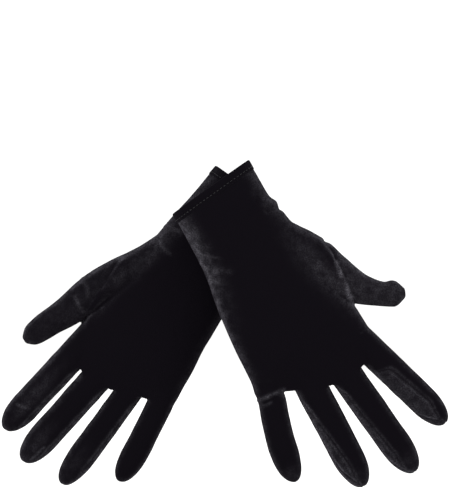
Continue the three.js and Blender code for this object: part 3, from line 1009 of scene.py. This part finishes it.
    def painted_sheen(self, flat: np.ndarray, normals: np.ndarray) -> np.ndarray:
        """Painted sheen: how much the velvet's colour is greyed, from 0 to about 1.

        None is painted on the flat of the hand. It is painted where the cloth turns round the sides,
        away from the camera's line along the flat frame's z, by the share that the glove's edge tables
        give, less some painted shade at the very edge; on the thumb and the strips; and in the sheen
        patches.

        Args:
            flat: Flat-frame places.
            normals: Flat-frame directions.

        Returns:
            One number a point.
        """
        shape = self.shape
        x = flat[:, 0]
        table = np.array(shape.edges)
        outer, inner = (np.interp(x, table[:, 0], table[:, k]) for k in (1, 2))
        toward = normals[:, 1].copy()
        owner = self.nearest_finger(flat)
        for number, (finger, pair) in enumerate(zip(shape.fingers, shape.finger_edges)):
            along, _ = finger.local(flat[:, :2])
            mine = (owner == number) & (along > self.FINGER_SHEEN[0])
            share = smoothstep(*self.FINGER_SHEEN, along)
            beside = -finger.direction[1] * normals[:, 0] + finger.direction[0] * normals[:, 1]
            outer = np.where(mine, outer + (pair[0] - outer) * share, outer)
            inner = np.where(mine, inner + (pair[1] - inner) * share, inner)
            toward = np.where(mine, toward + (beside - toward) * share, toward)
        tilt = 1.0 - np.abs(normals[:, 2])
        # Painted sheen grows as the cloth tilts away from the camera's line; painted shade takes part of
        # it back at the very edge.
        side = smoothstep(0.03, 0.5, tilt) * (1.0 - self.EDGE_SHADE * smoothstep(0.65, 0.95, tilt))
        turned = smoothstep(-0.25, 0.25, toward)
        painted_sheen = side * (outer + (inner - outer) * turned)
        painted_sheen = np.where(shape.thumb.holds(flat), np.maximum(painted_sheen, shape.thumb_painted_sheen), painted_sheen)
        outside = self.strip_levels(flat)[2]
        painted_sheen = painted_sheen + shape.strip_painted_sheen * smoothstep(0.3, -0.5, outside) * (x > shape.knuckles)
        # Patches of painted sheen.
        for patch in shape.sheen_patches:
            painted_sheen = painted_sheen + patch.share(flat)
        return painted_sheen

    def all_folds(self) -> list[Fold]:
        """The glove's own folds, and the small creases across each finger where it bends."""
        folds = list(self.shape.folds)
        for finger in self.shape.fingers:
            dx, dy = finger.direction
            beside = np.array([-dy, dx]) * finger.width * self.CREASE_REACH
            for offset, height in self.CREASES:
                middle = np.array(finger.root) + finger.direction * (finger.bend + offset)
                line = (tuple(middle - beside), tuple(middle + beside))
                folds.append(Fold(line, height, self.CREASE_WIDTH, Face.BOTH))
        return folds

    def skin(self) -> Surface:
        """The whole skin of the glove, cut into zones and panels.

        Returns:
            The skin round the hand, the fingers and the thumb, smoothed, lifted and then split along the
            cuff, the thumb's seam, the fingers' roots and the seams of their side strips.
        """
        shape = self.shape
        fingers = [finger.rings() for finger in shape.fingers]
        flat, quads = one_skin([shape.hand_rings(), shape.thumb.rings(), *fingers])
        flat = smoothed(flat, quads, 14)
        faces = np.concatenate([quads[:, [0, 1, 2]], quads[:, [0, 2, 3]]])
        labels = np.zeros(len(faces), int)
        surface = Surface(flat, self.dressed(flat, faces), faces, labels, labels.copy())
        self.trim_cuff(surface)
        self.set_zones(surface)
        self.set_panels(surface)
        for _ in range(2):
            surface.settle(self.smallest_panel)
        return surface

    def trim_cuff(self, surface: Surface) -> None:
        """Cuts the skin off square inside the hem."""
        surface.cut(surface.flat[:, 0] - self.skin_start, np.ones(len(surface.faces), bool))
        kept = surface.centres()[:, 0] > self.skin_start
        rows = (surface.faces, surface.zone, surface.panel)
        surface.faces, surface.zone, surface.panel = (row[kept] for row in rows)

    def set_zones(self, surface: Surface) -> None:
        """Cuts the thumb and the fingers off the hand."""
        thumb = self.shape.thumb
        level = surface.flat[:, 1] - thumb.seam_height(surface.flat[:, 0])
        surface.cut(level, surface.centres()[:, 0] < thumb.end)
        surface.zone[thumb.holds(surface.centres())] = Zone.THUMB.value
        for number, finger in enumerate(self.shape.fingers):
            along = finger.local(surface.flat[:, :2])[0] - finger.cut
            mine = (self.nearest_finger(surface.centres()) == number) & (surface.zone == Zone.HAND.value)
            surface.cut(along, mine)
            middle = surface.centres()
            mine = (self.nearest_finger(middle) == number) & (surface.zone == Zone.HAND.value)
            surface.zone[mine & (finger.local(middle[:, :2])[0] > finger.cut)] = finger.zone.value

    def set_panels(self, surface: Surface) -> None:
        """Cuts the side strips out, and then the back from the palm."""
        surface.cut(self.strip_levels(surface.flat)[2], self.may_be_strip(surface))
        outside = self.strip_levels(surface.centres())[2]
        surface.panel[self.may_be_strip(surface) & (outside < 0)] = Panel.STRIP.value
        surface.cut(self.height(surface.flat), surface.panel != Panel.STRIP.value)
        middle = surface.centres()
        height = np.where(surface.zone == Zone.THUMB.value, middle[:, 2], self.height(middle))
        surface.panel[(height < 0) & (surface.panel != Panel.STRIP.value)] = Panel.PALM.value

    def may_be_strip(self, surface: Surface) -> np.ndarray:
        """The faces that a strip may have: those past the knuckles that aren't the thumb's."""
        return (surface.zone != Zone.THUMB.value) & (surface.centres()[:, 0] > self.shape.knuckles)

    def height(self, points: np.ndarray) -> np.ndarray:
        """Height of points above the line between back and palm.

        Args:
            points: Flat-frame places.

        Returns:
            The rolled height past the fingers' roots and off the thumb, and z everywhere else.
        """
        thumb = self.shape.thumb
        along, rolled, _ = self.strip_levels(points)
        off_thumb = points[:, 1] < thumb.seam_height(points[:, 0]) + 1.0
        past_root = (along > self.PAST_ROOT) & (off_thumb | (points[:, 0] > thumb.end))
        return np.where(past_root, rolled, points[:, 2])

    # -- pieces

    def piece(self, name: str, surface: Surface, chosen: np.ndarray, material: bpy.types.Material,
              nodes: Sequence[str]) -> bpy.types.Object:
        """Makes one panel of cloth with its thickness.

        Args:
            name: What the piece is called, without the side.
            surface: The glove's skin.
            chosen: Which of its faces the panel has.
            material: The cloth's outside.
            nodes: The frame's nodes that the panel stands for, without the side.

        Returns:
            The panel, walled inwards by the cloth's thickness, with the bare knit inside.
        """
        used, index = np.unique(surface.faces[chosen], return_inverse=True)
        faces = index.reshape(-1, 3)
        if self.shape.side is Side.LEFT:
            faces = faces[:, ::-1]
        side = self.shape.side.value
        data = surface.data[used]
        points = self.placed(data[:, :3])
        obj = mesh_object(f"{side}_{name}", points, faces)
        obj.data.materials.append(material)
        obj.data.materials.append(self.wardrobe.knit)
        wall = obj.modifiers.new("cloth", "SOLIDIFY")
        wall.thickness = self.cloth * MM
        wall.offset = -1.0
        wall.material_offset = 1
        apply_modifiers(obj)
        tips = self.placed(data[:, :3] + 0.01 * data[:, 3:6])
        normals = (tips - points) / np.linalg.norm(tips - points, axis=1, keepdims=True)
        self.set_painted_sheen(obj.data, data[:, 6])
        set_normals(obj.data, normals)
        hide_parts(*(f"{side}_{node}" for node in nodes))
        log.info("%s: %d faces", obj.name, len(obj.data.polygons))
        return obj

    def set_painted_sheen(self, mesh: bpy.types.Mesh, painted_sheen: np.ndarray) -> None:
        """Hangs the painted sheen on the points of a walled mesh, inside and outside alike."""
        layer = mesh.attributes.new("painted_sheen", "FLOAT", "POINT")
        layer.data.foreach_set("value", np.resize(painted_sheen, len(mesh.vertices)))

    def build(self) -> None:
        """Builds every piece of the glove."""
        surface = self.skin()
        self.build_hand(surface)
        self.build_fingers(surface)
        self.build_thumb(surface)
        Hem(self).build()

    def of(self, surface: Surface, zone: Zone, panel: Panel) -> np.ndarray:
        """The faces of one panel of one zone."""
        return (surface.zone == zone.value) & (surface.panel == panel.value)

    def reach(self, start: Sequence[float], end: Sequence[float], zone: float) -> Vector:
        """A length along the run between two flat-frame places, in metres and in the frame."""
        run = np.diff(self.placed(np.array([[*start, 0.0], [*end, 0.0]])), axis=0)[0]
        return Vector(run / np.linalg.norm(run)) * zone * MM

    def build_hand(self, surface: Surface) -> None:
        """The hand's back and palm, and the webs between the fingers."""
        for panel, word in ((Panel.BACK, "back"), (Panel.PALM, "palm")):
            chosen = self.of(surface, Zone.HAND, panel)
            nodes = (f"{word}_panel", f"knuckle_{word}")
            obj = self.piece(f"hand_{word}", surface, chosen, self.wardrobe.velvet, nodes)
            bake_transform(obj)
        strips = self.of(surface, Zone.HAND, Panel.STRIP)
        y = surface.centres()[:, 1]
        names = [finger.zone.name.lower() for finger in self.shape.fingers]
        roots = np.array([finger.root[1] for finger in self.shape.fingers])
        between = np.clip((y[:, None] < roots).sum(axis=1) - 1, 0, 2)
        for k in range(3):
            pair = f"{names[k]}_{names[k + 1]}"
            obj = self.piece(f"web_{pair}", surface, strips & (between == k), self.wardrobe.strip,
                             (f"web_strip_{pair}",))
            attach(obj, self.body("knuckles"))

    def build_fingers(self, surface: Surface) -> None:
        """The fingers' own panels: the back, the palm and the side strips of each."""
        for finger in self.shape.fingers:
            name = finger.zone.name.lower()
            reach = self.reach(finger.root, finger.tip, self.finger_zone)
            bare = {Zone.INDEX: "inner", Zone.LITTLE: "outer"}.get(finger.zone)
            strips = [f"{name}_{side}_strip" for side in ("inner", "outer") if side != bare]
            plan = [
                (Panel.BACK, "back", self.wardrobe.velvet, "velvet", (f"{name}_back",)),
                (Panel.PALM, "palm", self.wardrobe.velvet, "velvet", (f"{name}_palm",)),
                (Panel.STRIP, "strips", self.wardrobe.strip, "strip_velvet", strips),
            ]
            for panel, word, material, slot, nodes in plan:
                chosen = self.of(surface, finger.zone, panel)
                obj = self.piece(f"{name}_finger_{word}", surface, chosen, material, nodes)
                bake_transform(obj)

    def build_thumb(self, surface: Surface) -> None:
        """The thumb's two panels: its back and its palm."""
        spine = self.shape.thumb.spine
        k = self.shape.thumb.bend
        reach = self.reach(spine[k - 1], spine[k + 1], self.thumb_zone)
        for panel, word in ((Panel.BACK, "back"), (Panel.PALM, "palm")):
            chosen = self.of(surface, Zone.THUMB, panel)
            nodes = (f"thumb_base_{word}", f"thumb_tip_{word}")
            obj = self.piece(f"thumb_{word}", surface, chosen, self.wardrobe.velvet, nodes)
            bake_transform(obj)


def apply_modifiers(obj: bpy.types.Object) -> None:
    """Turns an object's modifiers into its mesh."""
    shown = obj.evaluated_get(bpy.context.evaluated_depsgraph_get())
    mesh = bpy.data.meshes.new_from_object(shown)
    obj.modifiers.clear()
    obj.data = mesh


@dataclass
class Hem:
    """The turned-in hem of a cuff and its row of stitches."""

    glove: Glove
    depth: float = 7.0
    proud: float = 0.35
    inside: float = 1.5
    pitch: float = 2.7
    stitch: float = 1.7
    thread: float = 0.26

    COLUMNS = 420
    PULL = 0.1  # how deep the stitches draw the hem in
    PULLS = 60  # how often they do so round the cuff
    WAVE = (0.25, 12.0)  # height of the hem's unevenness, and its cell
    AHEAD = 0.2  # how far on the ring's direction is read

    def build(self) -> None:
        """Builds the hem and its stitches."""
        side = self.glove.shape.side.value
        hem = mesh_object(f"{side}_hem", *self.band())
        hem.data.materials.append(self.glove.wardrobe.hem)
        row = mesh_object(f"{side}_hem_stitches", *self.stitches())
        row.data.materials.append(self.glove.wardrobe.thread)
        for obj, slot, node in ((hem, "hem_velvet", "cuff_hem"), (row, "thread", "hem_thread")):
            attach(obj, self.glove.body("hand"))
            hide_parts(f"{side}_{node}")
            log.info("%s: %d faces", obj.name, len(obj.data.polygons))

    def profile(self) -> np.ndarray:
        """The hem's closed outline: distance from the cuff's edge, and growth outside the hand.

        Returns:
            Rows that run down the outside, in under the hand's cloth, up the inside and round the edge,
            which is a half circle of the hem's thickness.
        """
        radius = (self.proud + self.inside) / 2.0
        middle = self.proud - radius
        turn = np.linspace(math.pi, 0.0, 9)
        edge = np.column_stack([radius - radius * np.sin(turn), middle + radius * np.cos(turn)])
        outside = [(2.5, self.proud), (4.4, self.proud), (5.0, self.proud - 0.3), (5.6, self.proud),
                   (self.depth - 0.5, self.proud), (self.depth, self.proud - 0.25),
                   (self.depth + 0.1, -0.4)]
        inside = [(self.depth + 1.6, -1.1), (self.depth + 1.5, -self.inside), (4.5, -self.inside)]
        return np.array([*edge, *outside, *inside])

    def band(self) -> tuple[np.ndarray, np.ndarray]:
        """The hem as its profile carried round the cuff, drawn in a little at each stitch.

        Returns:
            Points and quads of a closed band.
        """
        columns = self.COLUMNS
        profile = self.profile()
        rings = np.array([self.glove.shape.cuff_section(x, growth, columns) for x, growth in profile])
        angle = np.linspace(0.0, 2.0 * math.pi, columns, endpoint=False)
        near = np.exp(-(((profile[:, 0] - self.glove.stitch_at) / 2.0) ** 2)) * (profile[:, 1] > 0)
        pull = self.PULL * near[:, None] * np.cos(self.PULLS * angle)[None]
        flat = rings.reshape(-1, 3)
        inward = flat * np.array([0.0, 1.0, 1.0])
        inward /= np.linalg.norm(inward, axis=1, keepdims=True)
        wave = self.WAVE[0] * lattice_noise(flat, self.WAVE[1], self.glove.shape.seed + 4)
        flat = flat + inward * (pull.reshape(-1) + wave)[:, None]
        faces = grid_faces(len(profile), columns, True)
        if self.glove.shape.side is Side.LEFT:
            faces = faces[:, ::-1]
        return self.glove.placed(flat), faces

    def stitches(self) -> tuple[np.ndarray, np.ndarray]:
        """The row of stitches: short rounded bars along the hem, evenly spaced by length.

        Returns:
            Points and quads of all the bars.
        """
        shape = self.glove.shape
        ring = shape.cuff_section(self.glove.stitch_at, self.proud + 0.02, 1440)
        closed = np.concatenate([ring, ring[:1]])
        walked = np.concatenate([[0.0], np.cumsum(np.linalg.norm(np.diff(closed, axis=0), axis=1))])
        count = int(walked[-1] / self.pitch)
        places = np.arange(count) * walked[-1] / count
        centre = np.column_stack([np.interp(places, walked, closed[:, k]) for k in range(3)])
        further = (places + self.AHEAD) % walked[-1]
        ahead = np.column_stack([np.interp(further, walked, closed[:, k]) for k in range(3)])
        along = (ahead - centre) / np.linalg.norm(ahead - centre, axis=1, keepdims=True)
        beside = np.repeat(np.array([[1.0, 0.0, 0.0]]), count, axis=0)
        out = np.cross(beside, along)
        share = np.linspace(-1.0, 1.0, 7)
        angle = np.linspace(0.0, 2.0 * math.pi, 8, endpoint=False)
        radius = self.thread * np.sqrt(np.maximum(1.0 - share**4, 0.02))
        s, a = np.meshgrid(share, angle, indexing="ij")
        r = np.repeat(radius[:, None], len(angle), axis=1)
        offset = [(s * self.stitch / 2).ravel(), (r * np.cos(a)).ravel(), (r * np.sin(a)).ravel()]
        ways = (along, beside, out)
        bars = centre[:, None] + sum(o[None, :, None] * way[:, None] for o, way in zip(offset, ways))
        size = len(share) * len(angle)
        tube = grid_faces(len(share), len(angle), False)
        cap = np.array([[0, k, k + 1, k + 2] for k in (1, 3, 5)])
        one = np.concatenate([tube, cap[:, ::-1], cap + size - len(angle)])
        faces = (one[None] + size * np.arange(count)[:, None, None]).reshape(-1, 4)
        if shape.side is Side.RIGHT:
            faces = faces[:, ::-1]
        return self.glove.placed(bars.reshape(-1, 3)), faces


# ---- The two gloves -----------------------------------------------------------------------------------

RIGHT = GloveShape(
    side=Side.RIGHT,
    knuckles=122.0,
    blend_to=138.0,
    hand=(
        (((0, -30.5), (0, 30.4)), 18.0),
        (((25, -33.3), (25, 28)), 17.0),
        (((45, -36.5), (45, 29.8)), 15.5),
        (((70, -43.5), (70, 31)), 14.5),
        (((95, -49), (95, 31.5)), 14.0),
        (((115, -52), (115, 31.6)), 13.5),
        (((122, -53.5), (122, 31.6)), 12.5),
        (((128, -56), (139.6, -34), (153.9, -11.6), (156, 12.4), (148, 30.5)), 7.0),
    ),
    fingers=(
        Finger(Zone.INDEX, (159.5, 25.6), (216, 36), 19.8, 25, 22, 12, (36, 72), strip_width=12.0),
        Finger(Zone.MIDDLE, (154.6, 0.9), (230.3, 0.8), 21.2, 27, 24, 8, (18, 46)),
        Finger(Zone.RING, (147.6, -22.8), (218.5, -32.2), 21.2, 26, 25, 8, (10, 66)),
        Finger(Zone.LITTLE, (138.2, -49), (189.2, -68.2), 18.8, 21, 24, 10, (8, 14), -1.1, 1.0),
    ),
    thumb=Thumb(
        spine=((45, 13.5), (60, 20), (78, 27.5), (92, 32.5), (107, 38.5), (116, 44.7), (123.6, 52.1),
               (127.5, 58.5)),
        widths=(25, 28, 30, 26, 22, 18.6, 16.6, 17),
        tip=(131.1, 64),
        seam=((73, 43), (90, 38.4), (104, 35.2)),
        web=(116.2, 31),
        spread=0.5,
        bend=5,
    ),
    # A fold's fifth number is painted light along it: a highlight above zero, painted shade below.
    folds=(
        Fold(((72, 41), (81, 39.8), (91, 39)), -1.2, 1.2, Face.BOTH, -0.3),
        Fold(((91, 40), (99, 37.8), (107, 35.6), (116, 32.8)), -1.1, 1.1, Face.BOTH, -0.2),
        Fold(((88, 38.4), (98.2, 35.7), (105.8, 33.6), (115.5, 30.8)), 0.9, 1.2, Face.BOTH, 1.5),
        Fold(((131.5, -57), (133.4, -48), (135.6, -38)), 0.8, 1.0, Face.BACK, 0.9),
        Fold(((134.2, -57), (136.2, -48), (138.2, -39)), -0.8, 1.2),
        Fold(((127, -54), (129, -44)), -0.4, 1.1),
        Fold(((136.5, -56), (137.6, -50)), 0.4, 0.8, Face.BACK, 0.5),
        Fold(((26, -28), (33, -20), (39, -12)), 0.5, 2.0),
        Fold(((31, -33), (40, -26), (48, -16)), -0.9, 1.8),
        Fold(((37, -34), (46, -29), (52, -22)), 0.7, 1.8, Face.BACK, 0.3),
        Fold(((48, -36), (56, -33), (64, -24)), -0.5, 1.8),
        Fold(((14, 28), (24, 20), (30, 10)), -0.4, 2.2),
        Fold(((29, 22), (34.5, 32)), 1.5, 2.4, Face.BOTH, 0.2),
        Fold(((34, 20), (39.5, 32)), -0.7, 1.6, Face.BOTH),
        Fold(((40, 30), (50, 22), (56, 12)), 0.45, 2.4),
        Fold(((56, 33), (64, 26), (69, 16)), -0.45, 2.2),
        Fold(((110, 43), (117, 55)), -0.35, 0.9, Face.BOTH),
        Fold(((114, 40), (122, 52)), -0.35, 0.9, Face.BOTH),
        Fold(((60, -10), (76, 4), (84, 22)), -0.7, 2.2, Face.PALM),
        Fold(((100, -46), (112, -20), (118, 8)), -0.7, 1.8, Face.PALM),
        Fold(((92, -20), (104, 4), (112, 28)), -0.7, 1.8, Face.PALM),
    ),
    # Patches of painted sheen.
    sheen_patches=(
        SheenPatch((38, -30), (26, 5), 0.35, -8),
        SheenPatch((14, -27), (10, 4), 0.2),
        SheenPatch((80, 26), (24, 7), 0.35, 4),
        SheenPatch((102, 30), (12, 4), 0.3, 10),
        SheenPatch((204, 29), (12, 3.5), 0.12, 10),
        SheenPatch((182, 25), (14, 3), 0.12, 8),
        SheenPatch((222, 2), (5, 5), 0.15),
        SheenPatch((212, -32), (5, 5), 0.15),
        SheenPatch((184, -66), (4, 5), 0.2),
    ),
    # Painted sheen on the sides: x, outer side, inner side.
    edges=((0, 0.75, 0.45), (60, 0.9, 0.4), (80, 0.75, 0.9), (115, 0.5, 0.9), (128, 0.4, 0.5),
           (150, 0.3, 0.45)),
    # Painted sheen on each finger's outer and inner side.
    finger_edges=((0.55, 0.35), (0.75, 0.25), (0.85, 0.3), (0.3, 0.35)),
    thumb_painted_sheen=0.36,
    strip_painted_sheen=0.24,
    seed=11,
)

LEFT = GloveShape(
    side=Side.LEFT,
    knuckles=141.0,
    blend_to=153.5,
    hand=(
        (((0, -24), (0, 24)), 20.0),
        (((25, -30), (25, 25.2)), 17.5),
        (((45, -34.5), (45, 27.7)), 16.0),
        (((70, -38.5), (70, 29.5)), 14.5),
        (((100, -41.5), (100, 31)), 13.5),
        (((128, -45.5), (128, 33.5)), 13.0),
        (((141, -47.2), (141, 34.5)), 12.0),
        (((147, -47.5), (154.3, -29), (164, -6.9), (166.2, 15.7), (158, 35.5)), 7.0),
    ),
    fingers=(
        Finger(Zone.INDEX, (164.6, 27.5), (226.6, 34.9), 19.8, 25, 22, 11),
        Finger(Zone.MIDDLE, (163, 4.8), (236.6, 12.4), 20.8, 27, 24, 9),
        Finger(Zone.RING, (158, -18), (233.2, -17.9), 18.6, 26, 25, 8),
        Finger(Zone.LITTLE, (148.9, -38.9), (209, -48.7), 17.6, 22, 22, 8, (12, 20), -0.6, 0.8),
    ),
    thumb=Thumb(
        spine=((60, 17), (80, 24.5), (98, 33), (115, 40.8), (134.9, 46.4), (148, 51.4), (157, 54.6),
               (165.4, 57.4)),
        widths=(22, 22, 24, 23.6, 21.4, 18.4, 17.4, 14),
        tip=(170.6, 59.2),
        seam=((80, 43), (98, 39.4), (120, 36.8)),
        web=(138, 34.8),
        spread=0.28,
        bend=5,
    ),
    # A fold's fifth number is a painted highlight along it.
    folds=(
        Fold(((84, 39), (100, 38.2), (120, 36.4), (136, 35)), -1.0, 1.3),
        Fold(((88, 35.5), (104, 34.8), (122, 33), (138, 31.5)), 0.6, 2.4),
        Fold(((52.5, 28), (51, 22), (49.4, 15.5)), 0.6, 1.1, Face.BACK, 0.45),
        Fold(((55, 28), (53.5, 22), (52, 16)), -0.5, 1.1),
        Fold(((63.5, 24), (65.5, 18), (65, 13)), 0.5, 1.1, Face.BACK, 0.4),
        Fold(((113, 52), (118, 45), (121, 41)), 0.5, 0.9, Face.BACK, 0.5),
        Fold(((116, 52), (120.6, 46), (123, 43)), -0.45, 0.9),
        Fold(((125.5, 48), (129, 42), (131, 38)), 0.5, 0.9, Face.BACK, 0.5),
        Fold(((2, -20), (9, -23), (20, -27)), 0.5, 1.4, Face.BACK, 0.8),
        Fold(((206, 30), (208.4, 38)), 0.3, 0.9, Face.BACK, 0.5),
        Fold(((220.5, 6), (227, 7), (232.4, 8.8)), 0.2, 0.8, Face.BACK, 0.6),
        Fold(((128, 48.5), (131, 43), (132.6, 40)), -0.45, 0.9),
        Fold(((36, 24), (40, 12), (38, 0)), -0.4, 2.2),
        Fold(((60, -10), (76, 2), (86, 20)), -0.7, 2.2, Face.PALM),
        Fold(((112, -42), (126, -20), (134, 6)), -0.7, 1.8, Face.PALM),
        Fold(((104, -16), (118, 6), (128, 28)), -0.7, 1.8, Face.PALM),
    ),
    # Patches of painted sheen.
    sheen_patches=(
        SheenPatch((70, 24), (22, 5), 0.3, 8),
        SheenPatch((96, 32), (14, 4), 0.25, 10),
        SheenPatch((196, 32), (20, 4), 0.3, 7),
        SheenPatch((222, 12), (14, 4), 0.25, 6),
        SheenPatch((218, -17), (12, 4), 0.15),
    ),
    # Painted sheen on the sides: x, outer side, inner side.
    edges=((0, 0.3, 0.3), (40, 0.3, 0.5), (70, 0.2, 0.8), (110, 0.15, 0.75), (140, 0.15, 0.5),
           (160, 0.15, 0.45)),
    # Painted sheen on each finger's outer and inner side.
    finger_edges=((0.5, 0.75), (0.5, 0.6), (0.4, 0.45), (0.25, 0.3)),
    thumb_painted_sheen=0.12,
    strip_painted_sheen=0.2,
    seed=37,
)


# ---- The room -----------------------------------------------------------------------------------------


@dataclass
class Studio:
    """A plain pale floor, soft light and the camera."""

    distance: float = 1.8
    frame_width: float = 0.2981
    aim: tuple[float, float] = (0.00265, -0.0282)
    floor_gap: float = 0.02
    sensor: float = 36.0
    daylight: float = 1.15

    def build(self) -> None:
        """Builds the floor, the lights, the pale surroundings and the camera."""
        self.build_floor()
        self.build_lights()
        self.build_camera()

    def build_floor(self) -> None:
        """A wide flat floor just under the fingertips."""
        low = CAD_BOX[0][2] - self.floor_gap
        corners = np.array([[-6.0, -6.0, low], [6.0, -6.0, low], [6.0, 6.0, low], [-6.0, 6.0, low]])
        floor = mesh_object("floor", corners, [[0, 1, 2, 3]])
        material = bpy.data.materials.new("pale_floor")
        material.use_nodes = True
        finish = material.node_tree.nodes["Principled BSDF"]
        finish.inputs["Base Color"].default_value = linear("#f4f3f2")
        finish.inputs["Roughness"].default_value = 0.9
        floor.data.materials.append(material)

    def build_lights(self) -> None:
        """Pale surroundings on all sides, and three large soft lamps."""
        world = bpy.data.worlds.new("pale_surroundings")
        world.use_nodes = True
        world.node_tree.nodes["Background"].inputs["Color"].default_value = linear("#ffffff")
        world.node_tree.nodes["Background"].inputs["Strength"].default_value = self.daylight
        bpy.context.scene.world = world
        self.lamp("key", (-1.4, -1.0, 0.9), 1.0, 14.0)
        self.lamp("fill", (1.5, -0.9, 0.5), 1.2, 9.0)
        self.lamp("rim", (0.3, 1.4, 1.0), 1.2, 8.0)
        bpy.context.scene.view_settings.view_transform = "Standard"

    def lamp(self, name: str, place: tuple[float, float, float], size: float, power: float) -> None:
        """Adds a square lamp that faces the gloves."""
        light = bpy.data.lights.new(name, "AREA")
        light.size = size
        light.energy = power
        obj = bpy.data.objects.new(name, light)
        obj.location = place
        target = Vector((self.aim[0], 0.0, self.aim[1]))
        obj.rotation_euler = (target - Vector(place)).to_track_quat("-Z", "Y").to_euler()
        bpy.context.scene.collection.objects.link(obj)

    def build_camera(self) -> None:
        """A long lens straight in front of the backs of the hands."""
        camera = bpy.data.cameras.new("camera")
        camera.sensor_width = self.sensor
        camera.sensor_fit = "HORIZONTAL"
        camera.lens = self.sensor * self.distance / self.frame_width
        obj = bpy.data.objects.new("camera", camera)
        obj.location = (self.aim[0], -self.distance, self.aim[1])
        obj.rotation_euler = (math.pi / 2, 0.0, 0.0)
        bpy.context.scene.collection.objects.link(obj)
        bpy.context.scene.camera = obj


def main() -> None:
    """Builds the room and both gloves."""
    logging.basicConfig(level=logging.INFO, format="%(name)s: %(message)s")
    Studio().build()
    wardrobe = make_wardrobe()
    for shape in (RIGHT, LEFT):
        Glove(shape, wardrobe).build()
        log.info("built the %s glove", shape.side.value)


if __name__ == "__main__":
    main()
